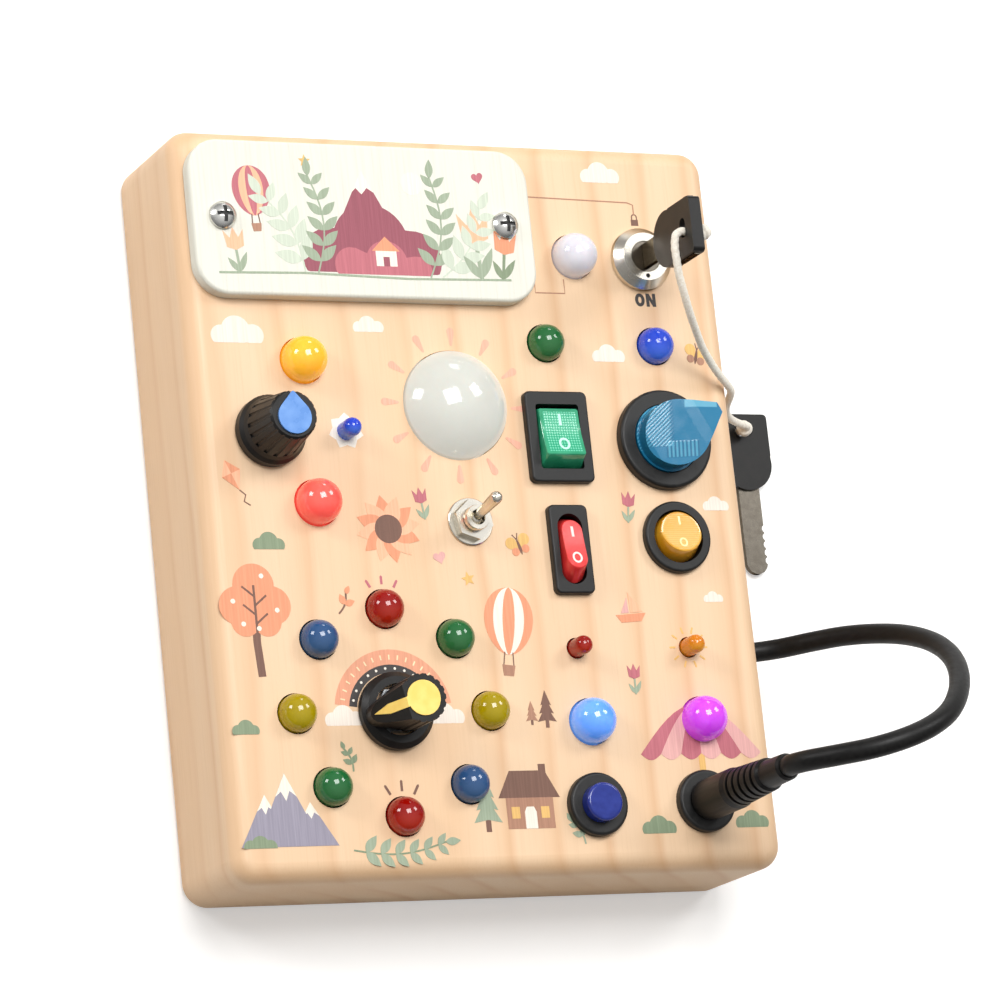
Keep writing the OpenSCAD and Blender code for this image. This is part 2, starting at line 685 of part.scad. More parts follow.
module batteries() for (i = [0:cell_count - 1]) {
    turn = i % 2 == 0 ? 1 : -1;
    y = box_at[1] + (i - (cell_count - 1) / 2) * (cell_d + 0.4);
    color(i % 2 == 0 ? "seagreen" : "darkgreen")
        translate([cell_x - turn * cell_l / 2, y, back_t + 0.4 + cell_d / 2]) rotate([0, turn * 90, 0]) {
            cylinder(d = cell_d, h = cell_l - 1.2);
            cylinder(d = cell_d * 0.36, h = cell_l);
        }
}

module battery_contacts() color("gold") for (i = [0:cell_count - 1], s = [-1, 1]) {
    y = box_at[1] + (i - (cell_count - 1) / 2) * (cell_d + 0.4);
    outer = cell_x + s * (cell_l / 2 + contact_room);
    translate([outer - s * contact_t / 2, y, back_t + 0.4 + cell_d / 2]) {
        cube([contact_t - eps, cell_d * 0.8, cell_d * 0.8], center = true);
        rotate([0, -s * 90, 0]) for (k = [0:2])
            cylinder(d = cell_d * (0.56 - 0.12 * k), h = contact_room / 2 + (k + 1) * contact_room / 10);
    }
}

module battery_cover() color("tan") difference() {
    put(box_at) slab(inner_l + 2 * (box_lip - back_clear), inner_w + 2 * (box_lip - back_clear),
        back_t, box_lip - back_clear);
    cover_screw_place() back_screw_hole();
    for (i = [-2:2]) translate([box_at[0] - inner_l / 2 + 7 + i * 1.6, box_at[1] - inner_w / 4, -eps])
        cube([0.8, inner_w / 2, 0.6]);
}

// ---- key lock ----

module key_lock_body() color("silver") put(key_at) difference() {
    union() {
        rotate_extrude() polygon([[0, face_z], [key_bezel_d / 2, face_z],
            [key_bezel_d / 2, face_z + key_bezel_h * 0.4],
            [key_bezel_d / 2 - key_bezel_h * 0.5, face_z + key_bezel_h], [0, face_z + key_bezel_h]]);
        translate([0, 0, face_z - key_barrel_l]) cylinder(d = key_barrel_d, h = key_barrel_l);
        for (s = [-1, 1]) translate([s * key_barrel_d / 4 - 0.4, -2.4, face_z - key_barrel_l - pin_l])
            cube([0.8, 4.8, pin_l + eps]);
    }
    translate([0, 0, face_z - key_barrel_l + 1.5])
        cylinder(d = key_plug_d + 2 * turn_clear, h = key_barrel_l + key_bezel_h);
    translate([0, -key_bezel_d / 4 - key_plug_d / 8, face_z + key_bezel_h - 0.5]) cylinder(d = 1.3, h = 1);
}

module key_lock_plug() color("gray") put(key_at) difference() {
    translate([0, 0, face_z - key_barrel_l + 1.8])
        cylinder(d = key_plug_d, h = key_barrel_l - 1.8 + key_bezel_h - 0.3);
    translate([-key_t / 2 - key_fit, -blade_w / 2 - key_fit, blade_z - blade_in - key_fit])
        cube([key_t + 2 * key_fit, blade_w + 2 * key_fit, blade_in + key_bezel_h]);
}

// outline of the key's metal, u across and v along, v = 0 where the plastic head begins
module key_metal() {
    translate([-blade_w / 2, -neck_l - blade_in + blade_w / 2]) square([blade_w, neck_l + blade_in]);
    translate([0, -neck_l - blade_in + blade_w / 2]) intersection() {
        circle(d = blade_w);
        translate([-blade_w / 2, -blade_w / 2]) square([blade_w, blade_w / 2 + eps]);
    }
    translate([0, head_w / 2]) circle(head_w / 2 - 2.4);
    translate([-head_w / 2 - 0.4, head_w / 2 + 1]) square([head_w + 0.8, head_l - head_w / 2 - 2.6]);
    translate([-head_w / 2 + 2.4, head_w / 2]) square([head_w - 4.8, head_l - head_w / 2 - 1.2]);
}

module key_profile(l) linear_extrude(l, center = true) difference() {
    key_metal();
    translate([0, slot_v]) square([slot_l + 1.4, slot_w + 1.4], center = true);
}

module key_plastic() difference() {
    linear_extrude(head_t, center = true) difference() {
        union() {
            translate([0, head_w / 2]) circle(head_w / 2);
            translate([0, (head_l + head_w / 2) / 2 + 0.7])
                rounded_rect(head_w, head_l - head_w / 2 - 1.4, 1.2);
        }
        translate([0, slot_v]) rounded_rect(slot_l, slot_w, slot_w / 2 - eps);
    }
    linear_extrude(key_t + 2 * key_fit, center = true) difference() {
        key_metal();
        translate([0, slot_v]) square([slot_l + 1.2, slot_w + 1.2], center = true);
    }
}

// the blade's bitting: five shallow cuts along one edge
module key_cut() difference() {
    key_profile(key_t);
    for (i = [0:4]) translate([blade_w / 2 + 0.5, -neck_l - 3 - i * 2.3, 0])
        cylinder(d = 2.2, h = key_t + 1, center = true);
}

module in_lock() put(key_at) translate([0, 0, head_z]) rotate([90, 0, 90]) children();
module on_floor() translate([floor_key_at[0], floor_key_at[1], head_t / 2]) children();

module key_blade() color("lightgray") in_lock() key_cut();
module key_head() color("black") in_lock() key_plastic();
module spare_key_blade() color("lightgray") on_floor() key_cut();
module spare_key_head() color("black") on_floor() key_plastic();

module key_string() color("white") {
    last = len(string_points) - 1;
    far_knot = last - 6;
    tube(string_points, [for (i = [0:last]) string_d + (knot_d - string_d) *
        (i < 5 ? string_swell[i] :
        i >= far_knot && i < far_knot + 5 ? string_swell[4 - i + far_knot] : 0)], 8);
}

// ---- knobs on shafts ----

module bushed_body(d, t) difference() {
    union() {
        translate([0, 0, under_z - t]) cylinder(d = d, h = t);
        translate([0, 0, under_z - eps]) cylinder(d = bushing_d, h = panel_t + bushing_out);
        for (s = [-1, 0, 1]) translate([s * d / 4 - 0.5, -d / 4, under_z - t - 3]) cube([1, 0.6, 3 + eps]);
    }
    translate([0, 0, under_z - t * 0.7])
        cylinder(d = shaft_d + 2 * turn_clear, h = t + panel_t + bushing_out);
}

module shaft(t, knob_h) {
    low = under_z - t * 0.7 + 0.2;
    top = face_z + knob_h - 3;
    flat_z = face_z + bushing_out + 0.3;
    difference() {
        translate([0, 0, low]) cylinder(d = shaft_d, h = top - low);
        translate([-shaft_d / 2, shaft_d / 4, flat_z]) cube([shaft_d, shaft_d, top - flat_z + eps]);
    }
}

module shaft_bore(knob_h) {
    hollow_top = face_z + bushing_out + 0.5;
    top = face_z + knob_h - 3 + screw_clear;
    translate([0, 0, face_z + knob_gap - eps])
        cylinder(d = bushing_nut_af / cos(30) + 1, h = hollow_top - face_z - knob_gap + eps);
    difference() {
        translate([0, 0, hollow_top - eps])
            cylinder(d = shaft_d + 2 * screw_clear, h = top - hollow_top + eps);
        translate([-shaft_d, shaft_d / 4 + screw_clear, hollow_top - 2 * eps])
            cube([2 * shaft_d, shaft_d, top - hollow_top + 4 * eps]);
    }
}

module pot_body() color("gray") put(pot_at) bushed_body(pot_body_d, pot_body_t);
module pot_shaft() color("silver") put(pot_at) shaft(pot_body_t, pot_knob_h);

module pot_knob() color("black") put(pot_at) {
    base = face_z + knob_gap;
    top = face_z + pot_knob_h;
    difference() {
        rotate_extrude() polygon([[0, base], [pot_skirt_d / 2, base], [pot_skirt_d / 2, base + 2.6],
            [pot_skirt_d / 2 - 0.8, base + 3.8], [pot_top_d / 2 + 1.6, base + 5.2],
            [pot_top_d / 2, top - 0.6], [pot_top_d / 2 - 0.6, top], [0, top]]);
        shaft_bore(pot_knob_h);
        for (i = [0:flutes - 1]) rotate(i * 360 / flutes) translate([pot_top_d / 2 + 1.75, 0, base + 5.4])
            rotate([0, -7, 0]) cylinder(d = 1.2, h = pot_knob_h);
        translate([0, 0, top - 1.2]) linear_extrude(1.3) pot_drop(screw_clear);
        translate([-0.5, pot_top_d / 2 - 1.1, base + 5]) cube([1, 4, pot_knob_h]);
    }
}

module pot_drop(grow) translate([0, -0.6]) rotate(90)
    teardrop(pot_top_d * 0.35 + grow, 0.5 + grow, pot_top_d * 0.48);

module pot_knob_cap() color("cornflowerblue") put(pot_at) {
    top = face_z + pot_knob_h;
    translate([0, 0, top - 1.2]) linear_extrude(1.8) pot_drop(0);
}

module selector_body() color("black") put(ring_at) bushed_body(sel_body_d, sel_body_t);
module selector_shaft() color("silver") sel_frame() shaft(sel_body_t, sel_knob_h);

module sel_frame() put(ring_at) rotate(sel_angle) children();

// side view of the grip's falling back, from the round head out to the skirt's edge
module sel_slope(top, low, drop) polygon([[-sel_grip_d, low], [-sel_grip_d, top - drop],
    [sel_grip_d * 0.3, top - drop], [sel_skirt_d / 2 - 0.6, face_z + 6.2 - drop],
    [sel_skirt_d / 2 - 0.2, face_z + 4.6 - drop], [sel_skirt_d / 2 - 0.2, low]]);

module selector_knob() color("black") sel_frame() {
    base = face_z + knob_gap;
    top = face_z + sel_knob_h;
    difference() {
        union() {
            rotate_extrude() polygon([[0, base], [sel_skirt_d / 2, base], [sel_skirt_d / 2, base + 2],
                [sel_skirt_d / 2 - 1.4, base + 3.4], [0, base + 3.4]]);
            intersection() {
                translate([-1, 0, base]) union() {
                    cylinder(d = sel_grip_d, h = top - base);
                    linear_extrude(top - base) teardrop(sel_grip_d / 2 - 0.4, 3.4, sel_skirt_d / 2 - 3);
                }
                rotate([90, 0, 0]) linear_extrude(sel_grip_d, center = true) sel_slope(top, base, 0);
            }
        }
        shaft_bore(sel_knob_h);
        sel_inlay(screw_clear, 2);
        for (i = [3:flutes - 3]) translate([-1, 0, 0]) rotate(i * 360 / flutes)
            translate([sel_grip_d / 2 + 0.25, 0, base + 3.6]) cylinder(d = 1.2, h = sel_knob_h);
    }
}

// the yellow inlay: a round spoon on the head and a tail down the slope
module sel_inlay(grow, over) {
    top = face_z + sel_knob_h;
    intersection() {
        translate([-1, 0, face_z + 4]) linear_extrude(sel_knob_h) union() {
            circle(sel_grip_d * 0.36 + grow);
            translate([0, -1.3 - grow]) square([sel_skirt_d * 0.38, 2.6 + 2 * grow]);
            translate([sel_skirt_d * 0.38 - eps, 0]) polygon([[0, 1.3 + grow], [0, -1.3 - grow], [2.4, 0]]);
        }
        rotate([90, 0, 0]) linear_extrude(sel_grip_d, center = true) difference() {
            sel_slope(top, face_z + 4, -over);
            translate([0, over > 1 ? -grow : 0]) sel_slope(top, face_z, 1);
        }
    }
}

module selector_pointer() color("gold") sel_frame() sel_inlay(0, 0.35);

// ---- toggle switch ----

module toggle_frame() put(toggle_at) rotate(toggle_turn) children();

module toggle_body() color("silver") toggle_frame() difference() {
    union() {
        translate([-toggle_box[0] / 2, -toggle_box[1] / 2, under_z - toggle_box[2]]) cube(toggle_box);
        translate([0, 0, under_z - eps]) cylinder(d = toggle_bushing_d, h = panel_t + toggle_bushing_out);
        for (s = [-1, 0, 1])
            translate([-pin_t, s * toggle_pin_pitch - pin_t / 2, under_z - toggle_box[2] - toggle_pin_l])
                cube([2 * pin_t, pin_t, toggle_pin_l + eps]);
    }
    translate([0, 0, toggle_pivot - toggle_tail_l - toggle_ball_d / 2 + 0.5])
        cylinder(d = toggle_ball_d + 2 * turn_clear, h = toggle_tail_l + toggle_ball_d + toggle_bushing_out);
    translate([0, 0, toggle_pivot]) rotate([0, 90, 0]) cylinder(d = toggle_pin_d + 2 * turn_clear,
        h = toggle_ball_d + 2 * turn_clear + 2 * toggle_pin_reach, center = true);
}

module toggle_washer() color("silver") toggle_frame() translate([0, 0, face_z]) difference() {
    cylinder(d = toggle_washer_d, h = toggle_washer_t);
    translate([0, 0, -eps]) cylinder(d = toggle_bushing_d + 2 * screw_clear, h = toggle_washer_t + 2 * eps);
    for (i = [0:15]) rotate(i * 22.5) translate([toggle_washer_d / 2, 0, -eps])
        cylinder(d = 0.9, h = toggle_washer_t + 2 * eps);
}

module toggle_nut() color("silver") toggle_frame() translate([0, 0, face_z + toggle_washer_t]) difference() {
    linear_extrude(toggle_nut_t) hexagon(toggle_nut_af);
    translate([0, 0, -eps]) cylinder(d = toggle_bushing_d + 2 * screw_clear, h = toggle_nut_t + 2 * eps);
}

module toggle_lever() color("silver") toggle_frame() translate([0, 0, toggle_pivot])
    rotate([-toggle_lean, 0, 0]) {
        sphere(d = toggle_ball_d);
        rotate([0, 90, 0]) cylinder(d = toggle_pin_d, h = toggle_ball_d + 2 * toggle_pin_reach - 0.1,
            center = true);
        translate([0, 0, -toggle_tail_l]) cylinder(d = toggle_tail_d, h = toggle_tail_l);
        cylinder(d1 = toggle_neck_d, d2 = toggle_tip_d, h = toggle_lever_l - toggle_tip_d / 2);
        translate([0, 0, toggle_lever_l - toggle_tip_d / 2]) sphere(d = toggle_tip_d);
    }

// ---- rocker switches ----

module plan_of(i, w, h) {
    if (i == 0) rounded_rect(w, h, 0.8);
    if (i == 1) {
        square([w, h - w], center = true);
        for (s = [-1, 1]) translate([0, s * (h - w) / 2]) circle(d = w);
    }
    if (i == 2) circle(d = w);
}

module rocker_housing(i) put(rocker_at[i]) difference() {
    union() {
        translate([0, 0, face_z])
            if (i == 2) rotate_extrude() edge_section(bezel_w[i] / 2, bezel_t, bezel_t / 3, 0);
            else rounded_block(bezel_w[i], bezel_h[i], bezel_t, bezel_corner_r, bezel_edge_r, 0);
        translate([0, 0, face_z - switch_depth]) linear_extrude(switch_depth + bezel_t / 2)
            if (i == 2) circle(d = bezel_w[i] - 2 * bezel_lip);
            else square([bezel_w[i] - 2 * bezel_lip, bezel_h[i] - 2 * bezel_lip], center = true);
        for (s = [-1, 0, 1]) translate([-min(open_w[i], 9) / 4, s * open_h[i] / 4 - 0.4,
            face_z - switch_depth - pin_l]) cube([min(open_w[i], 9) / 2, 0.8, pin_l + eps]);
    }
    translate([0, 0, pivot_z - open_h[i] / 2 - 0.6]) linear_extrude(open_h[i] + bezel_t + 1)
        plan_of(i, open_w[i], open_h[i]);
    translate([0, 0, pivot_z]) rotate([0, 90, 0])
        cylinder(d = rocker_pin_d + 2 * turn_clear, h = open_w[i] + 2 * rocker_pin_reach, center = true);
}

module rocker_side(i) {
    r = open_h[i] / 2 - rocker_gap;
    dip = (r * r + rocker_hollow * rocker_hollow) / (2 * rocker_hollow);
    difference() {
        intersection() {
            circle(r);
            translate([-r, -rocker_drop]) square([2 * r, rocker_drop + rocker_end_h]);
        }
        translate([0, rocker_end_h - rocker_hollow + dip]) circle(dip, $fn = 96);
    }
}

module rocker(i) put(rocker_at[i]) translate([0, 0, pivot_z]) rotate([-rocker_lean, 0, 0]) {
    w = open_w[i] - 2 * rocker_gap;
    intersection() {
        rotate([90, 0, 90]) linear_extrude(w, center = true) rocker_side(i);
        if (i == 0) translate([-w / 2, -open_h[i], -open_h[i]]) cube([w, 2 * open_h[i], 2 * open_h[i]]);
        if (i == 1) translate([0, 0, -rocker_drop]) linear_extrude(2 * rocker_drop + rocker_end_h)
            plan_of(i, w, open_h[i] - 4 * rocker_gap);
        if (i == 2) sphere(d = w, $fn = 64);
    }
    rotate([0, 90, 0]) cylinder(d = rocker_pin_d, h = open_w[i] + 2 * rocker_pin_reach - 0.3, center = true);
}

module green_rocker_housing() color("black") rocker_housing(0);
module red_rocker_housing() color("black") rocker_housing(1);
module round_rocker_housing() color("black") rocker_housing(2);
module green_rocker() color("green") rocker(0);
module red_rocker() color("red") rocker(1);
module round_rocker() color("orange") rocker(2);

// ---- round knob switch ----

module blue_knob_housing() color("black") put(blue_at) difference() {
    union() {
        translate([0, 0, face_z])
            rotate_extrude() edge_section(blue_bezel_d / 2, blue_bezel_t, blue_bezel_t / 3, 0);
        translate([0, 0, face_z - switch_depth])
            cylinder(d = blue_barrel_d, h = switch_depth + blue_bezel_t / 4);
        for (s = [-1, 1]) translate([-2.4, s * blue_barrel_d * 0.3 - 0.4, face_z - switch_depth - pin_l])
            cube([4.8, 0.8, pin_l + eps]);
    }
    translate([0, 0, face_z + blue_bezel_t - dish_depth])
        cylinder(r = blue_round_r + rocker_gap, h = dish_depth + eps);
    translate([0, 0, face_z - switch_depth / 2])
        cylinder(d = blue_stem_d + 2 * turn_clear, h = switch_depth);
}

module blue_knob() color("deepskyblue") put(blue_at) rotate(blue_angle) {
    low = face_z + blue_bezel_t - dish_depth + 0.3;
    deck = face_z + blue_bezel_t + 0.4;
    top = face_z + blue_bezel_t + blue_knob_h;
    translate([0, 0, face_z - switch_depth / 2 + 0.3]) cylinder(d = blue_stem_d, h = switch_depth / 2 + 2);
    translate([0, 0, low]) cylinder(r = blue_round_r, h = deck - low + eps);
    intersection() {
        translate([0, 0, deck]) linear_extrude(top - deck)
            teardrop(blue_round_r - 0.5, blue_tip_r, blue_beak - blue_tip_r);
        rotate([90, 0, 0]) linear_extrude(3 * blue_round_r, center = true) polygon([[-blue_round_r, deck - 1],
            [-blue_round_r, top - 5], [-blue_round_r + 1.6, top - 4], [blue_round_r * 0.5, top - 0.6],
            [blue_beak - 7, top], [blue_beak - 1, top], [blue_beak, top - 1.4], [blue_beak, deck + 3],
            [blue_round_r * 0.9, deck - 1]]);
    }
}

// ---- push button ----

module push_button_housing() color("black") put(button_at) difference() {
    union() {
        translate([0, 0, face_z])
            rotate_extrude() edge_section(button_bezel_d / 2, button_bezel_h, button_bezel_h / 3, 0);
        translate([0, 0, face_z - switch_depth])
            cylinder(d = barrel_d, h = switch_depth + button_bezel_h / 2);
        for (s = [-1, 1]) translate([s * barrel_d / 4 - 0.4, -1.4, face_z - switch_depth - pin_l])
            cube([0.8, 2.8, pin_l + eps]);
    }
    translate([0, 0, spring_floor])
        cylinder(d = button_cap_d + 2 * turn_clear, h = switch_depth);
    translate([0, 0, spring_floor - plunger_l - button_travel - 0.5])
        cylinder(d = plunger_d + 2 * turn_clear, h = plunger_l + button_travel + 1);
}

module push_button_cap() color("royalblue") put(button_at) {
    top = face_z + button_bezel_h + button_proud;
    translate([0, 0, cap_bottom]) rotate_extrude()
        edge_section(button_cap_d / 2, top - cap_bottom, 0.8, 0);
    translate([0, 0, spring_floor - plunger_l])
        cylinder(d = plunger_d, h = cap_bottom - spring_floor + plunger_l + eps);
}

module push_button_spring() color("silver") put(button_at) {
    low = spring_floor + spring_wire_d / 2 + 0.05;
    high = cap_bottom - spring_wire_d / 2 - 0.05;
    steps = spring_turns * 10;
    tube([for (i = [0:steps]) let (a = 36 * i)
        [spring_d / 2 * cos(a), spring_d / 2 * sin(a), low + (high - low) * i / steps]], spring_wire_d, 6);
}

// ---- nuts behind and in front of the panel ----

module nut_at(at, af, d, low, t) put(at) translate([0, 0, low]) difference() {
    linear_extrude(t) hexagon(af);
    translate([0, 0, -eps]) cylinder(d = d + 2 * screw_clear, h = t + 2 * eps);
}

module panel_nuts() color("silver") {
    nut_at(key_at, key_barrel_d + 3.4, key_barrel_d, under_z - nut_t, nut_t);
    nut_at(button_at, barrel_d + 3, barrel_d, under_z - nut_t, nut_t);
    nut_at(jack_at, barrel_d + 3, barrel_d, under_z - nut_t, nut_t);
    nut_at(blue_at, blue_barrel_d + 4, blue_barrel_d, under_z - nut_t, nut_t);
    nut_at(pot_at, bushing_nut_af, bushing_d, face_z, bushing_nut_t);
    nut_at(ring_at, bushing_nut_af, bushing_d, face_z, bushing_nut_t);
}

// ---- power jack, plug and cable ----

module jack_body() color("black") put(jack_at) {
    difference() {
        union() {
            translate([0, 0, face_z])
                rotate_extrude() edge_section(jack_flange_d / 2, jack_flange_h, jack_flange_h / 3, 0);
            translate([0, 0, face_z - switch_depth + 3])
                cylinder(d = barrel_d, h = switch_depth - 3 + jack_flange_h / 2);
            for (s = [-1, 1]) translate([s * barrel_d / 4 - 0.4, -1.4, face_z - switch_depth - pin_l + 3])
                cube([0.8, 2.8, pin_l + eps]);
        }
        translate([0, 0, plug_tip - 0.6]) cylinder(d = plug_d + 2 * plug_clear, h = 2 * plug_l);
    }
    translate([0, 0, plug_tip - 0.6 - eps]) cylinder(d = jack_pin_d, h = plug_l - 1);
}

module plug_barrel() color("silver") put(jack_at) translate([0, 0, plug_tip]) difference() {
    cylinder(d = plug_d, h = plug_l + 4);
    translate([0, 0, -eps]) cylinder(d = plug_bore_d, h = plug_l);
}

module plug_grip() color("black") put(jack_at) difference() {
    top = face_z + grip_top;
    long = top - grip_base;
    rotate_extrude() polygon([[0, grip_base], [grip_d / 2 - 0.6, grip_base], [grip_d / 2, grip_base + 0.6],
        [grip_d / 2, grip_base + long * 0.36], [grip_d / 2 - 0.4, grip_base + long * 0.4],
        [grip_d / 2 - 1.1, grip_base + long * 0.76], [cable_d / 2 + 1, grip_base + long * 0.78],
        [cable_d / 2 + 0.8, top - 0.8], [cable_d / 2 + 0.3, top], [0, top]]);
    translate([0, 0, grip_base - eps]) cylinder(d = plug_d + 2 * screw_clear, h = 4 + screw_clear);
    for (i = [0:grip_grooves - 1]) translate([0, 0, grip_base + long * (0.42 + 0.07 * i)])
        rotate_extrude() translate([grip_d / 2 - 1.4 - 0.14 * i, 0]) square([grip_d, 1.2]);
}

module power_cable() color("black") tube(cable_points, cable_d, 12);

module cable_grommet() color("black")
    translate([board_w / 2, cable_hole_at[0], cable_hole_at[1]]) rotate([0, 90, 0]) difference() {
        union() {
            translate([0, 0, -side_wall]) cylinder(d = cable_d + 2.4 + 2 * cable_gap, h = side_wall + eps);
            cylinder(d = cable_d + 5, h = 1.2);
        }
        translate([0, 0, -side_wall - eps]) cylinder(d = cable_d + 2 * cable_gap, h = side_wall + 3);
    }

// ---- lamps ----

module sun_dome() color("white") put(sun_at) {
    r = sun_d / 2;
    cap_r = (r * r + sun_cap_h * sun_cap_h) / (2 * sun_cap_h);
    foot = under_z - lamp_flange_t;
    rotate_extrude() union() {
        translate([0, foot]) square([r + lamp_flange, lamp_flange_t]);
        translate([0, foot]) square([r, face_z + sun_rim - foot]);
        intersection() {
            translate([0, face_z + sun_rim + sun_cap_h - cap_r]) circle(cap_r, $fn = 128);
            translate([0, face_z + sun_rim - eps]) square([r, sun_cap_h + 1]);
        }
    }
    leads(foot, lead_l);
}

module amber_dome() color("orange") put(dome_at[0]) lamp(dome_d, dome_proud);
module red_dome() color("tomato") put(dome_at[1]) lamp(dome_d, dome_proud);
module lavender_dome() color("lavender") put(dome_at[2]) lamp(dome_d, dome_proud);
module light_blue_dome() color("cornflowerblue") put(dome_at[3]) lamp(dome_d, dome_proud);
module magenta_dome() color("magenta") put(dome_at[4]) lamp(dome_d, dome_proud);
module small_red_lamp() color("red") put(small_at[0]) lamp(small_led_d, small_led_proud);
module small_amber_lamp() color("orange") put(small_at[1]) lamp(small_led_d, small_led_proud);
module small_blue_lamp() color("blue") put(small_at[2]) lamp(small_led_d, small_led_proud);
module red_lamps() color("darkred") ring_lamps(0);
module green_lamps() color("darkgreen") {
    ring_lamps(1);
    put(pair_at[0]) lamp(led_d, led_proud);
}
module yellow_lamps() color("yellow") ring_lamps(2);
module blue_lamps() color("mediumblue") {
    ring_lamps(3);
    put(pair_at[1]) lamp(led_d, led_proud);
}

module ring_circuit_board() color("darkgreen") difference() {
    put(ring_at) translate([0, 0, ring_board_z]) difference() {
        cylinder(r = ring_r + ring_board_half, h = ring_board_t);
        translate([0, 0, -eps]) cylinder(r = ring_r - ring_board_half - 3, h = ring_board_t + 2 * eps);
    }
    for (i = [0:ring_count - 1], s = [-1, 1]) ring_spot(i)
        translate([s * lead_pitch / 2, 0, ring_board_z - eps])
            cylinder(d = lead_d + 2 * lead_clear, h = ring_board_t + 2 * eps);
}

// ---- wiring ----

// a wire that drops from one place, runs along the back panel and climbs to another
module wire(from, from_z, to, to_z) {
    way = unit([to[0] - from[0], to[1] - from[1], 0]) * bend_run;
    tube([[from[0], from[1], from_z], [from[0], from[1], wire_z + bend_run],
        [from[0] + way[0], from[1] + way[1], wire_z], [to[0] - way[0], to[1] - way[1], wire_z],
        [to[0], to[1], wire_z + bend_run], [to[0], to[1], to_z]], wire_d, 6);
}

module wires_to(places, z, x) for (at = places) wire([at[0], at[1]], z, [x, at[1]], trunk_z);
module trunk(x, top, low) tube([[x, top, trunk_z], [x, low, trunk_z]], wire_d, 6);

module wire_harness() color("firebrick") {
    lead_z = lead_end_z - wire_gap;
    pin_z = face_z - switch_depth - pin_l - wire_gap;
    beside = trunk_half + wire_d + 0.3;
    trunk(trunk_x - trunk_half, key_at[1], jack_at[1]);
    trunk(trunk_x + trunk_half, key_at[1], jack_at[1]);
    trunk(left_trunk_x, dome_at[0][1], ring_at[1]);
    wire([box_at[0] + box_l / 2 + 2, box_at[1] + 6], box_top, [key_at[0], key_at[1] + 4],
        face_z - key_barrel_l);
    wires_to([dome_at[2], dome_at[3], small_at[0], pair_at[0]], lead_z, trunk_x - beside);
    wires_to([dome_at[4], small_at[1], pair_at[1]], lead_z, trunk_x + beside);
    wires_to([rocker_at[0], rocker_at[1], button_at], pin_z, trunk_x - beside);
    wires_to([rocker_at[2], blue_at], pin_z, trunk_x + beside);
    wires_to([jack_at], pin_z + 3, trunk_x + beside);
    wires_to([toggle_at], under_z - toggle_box[2] - toggle_pin_l - wire_gap, trunk_x - beside);
    wires_to([[ring_at[0] + ring_r, ring_at[1]]], ring_board_z - wire_gap, trunk_x - beside);
    wires_to([dome_at[0], dome_at[1], small_at[2]], lead_z, left_trunk_x - wire_d - 0.3);
    wires_to([[pot_at[0], pot_at[1] - pot_body_d / 4]], under_z - pot_body_t - 3 - wire_gap,
        left_trunk_x - wire_d - 0.3);
    wires_to([sun_at], lead_z, left_trunk_x + wire_d + 0.3);
}

wooden_case();
back_panel();
back_screws();
name_plate();
name_plate_screws();
battery_box();
batteries();
battery_contacts();
battery_cover();
key_lock_body();
key_lock_plug();
key_blade();
key_head();
spare_key_blade();
spare_key_head();
key_string();
pot_body();
pot_shaft();
pot_knob();
pot_knob_cap();
selector_body();
selector_shaft();
selector_knob();
selector_pointer();
toggle_body();
toggle_washer();
toggle_nut();
toggle_lever();
green_rocker_housing();
green_rocker();
red_rocker_housing();
red_rocker();
round_rocker_housing();
round_rocker();
blue_knob_housing();
blue_knob();
push_button_housing();
push_button_cap();
push_button_spring();
panel_nuts();
jack_body();
plug_barrel();
plug_grip();
power_cable();
cable_grommet();
sun_dome();
amber_dome();
red_dome();
lavender_dome();
light_blue_dome();
magenta_dome();
red_lamps();
green_lamps();
yellow_lamps();
blue_lamps();
small_red_lamp();
small_amber_lamp();
small_blue_lamp();
ring_circuit_board();
wire_harness();
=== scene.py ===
import functools
import bpy
import bmesh
from math import cos, exp, hypot, pi, radians, sin, sqrt
from mathutils import Matrix, Vector


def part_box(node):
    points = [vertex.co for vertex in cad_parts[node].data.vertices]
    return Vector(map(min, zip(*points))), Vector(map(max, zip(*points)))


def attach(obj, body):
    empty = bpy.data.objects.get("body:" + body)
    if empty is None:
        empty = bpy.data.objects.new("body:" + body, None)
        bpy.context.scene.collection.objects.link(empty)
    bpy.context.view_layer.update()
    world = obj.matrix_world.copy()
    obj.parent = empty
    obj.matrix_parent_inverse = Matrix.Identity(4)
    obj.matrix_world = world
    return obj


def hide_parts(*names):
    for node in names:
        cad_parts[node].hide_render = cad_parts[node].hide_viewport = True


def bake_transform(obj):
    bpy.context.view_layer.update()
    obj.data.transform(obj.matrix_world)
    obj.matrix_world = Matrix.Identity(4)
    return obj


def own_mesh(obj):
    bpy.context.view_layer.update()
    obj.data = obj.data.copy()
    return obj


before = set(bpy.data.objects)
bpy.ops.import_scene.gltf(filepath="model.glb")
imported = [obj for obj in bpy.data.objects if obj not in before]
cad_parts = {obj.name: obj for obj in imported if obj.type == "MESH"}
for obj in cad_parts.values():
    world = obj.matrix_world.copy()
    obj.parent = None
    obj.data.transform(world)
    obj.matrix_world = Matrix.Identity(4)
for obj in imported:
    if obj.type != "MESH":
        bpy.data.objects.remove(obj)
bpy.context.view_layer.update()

from types import SimpleNamespace as Values

mm = 0.001
faceZ = 38  # height of the board's face; sizes here are in millimetres, as in the solids
plateTop = faceZ + 4
times, minus, rgba = dict(operation="MULTIPLY"), dict(operation="SUBTRACT"), dict(data_type="RGBA")


def linear(code):
    parts = [int(code[i:i + 2], 16) / 255 for i in (1, 3, 5)]
    return [((c + 0.055) / 1.055) ** 2.4 if c > 0.04045 else c / 12.92 for c in parts] + [1]


def perMm(size):
    return 1000 / size  # texture scale for features of that size in millimetres


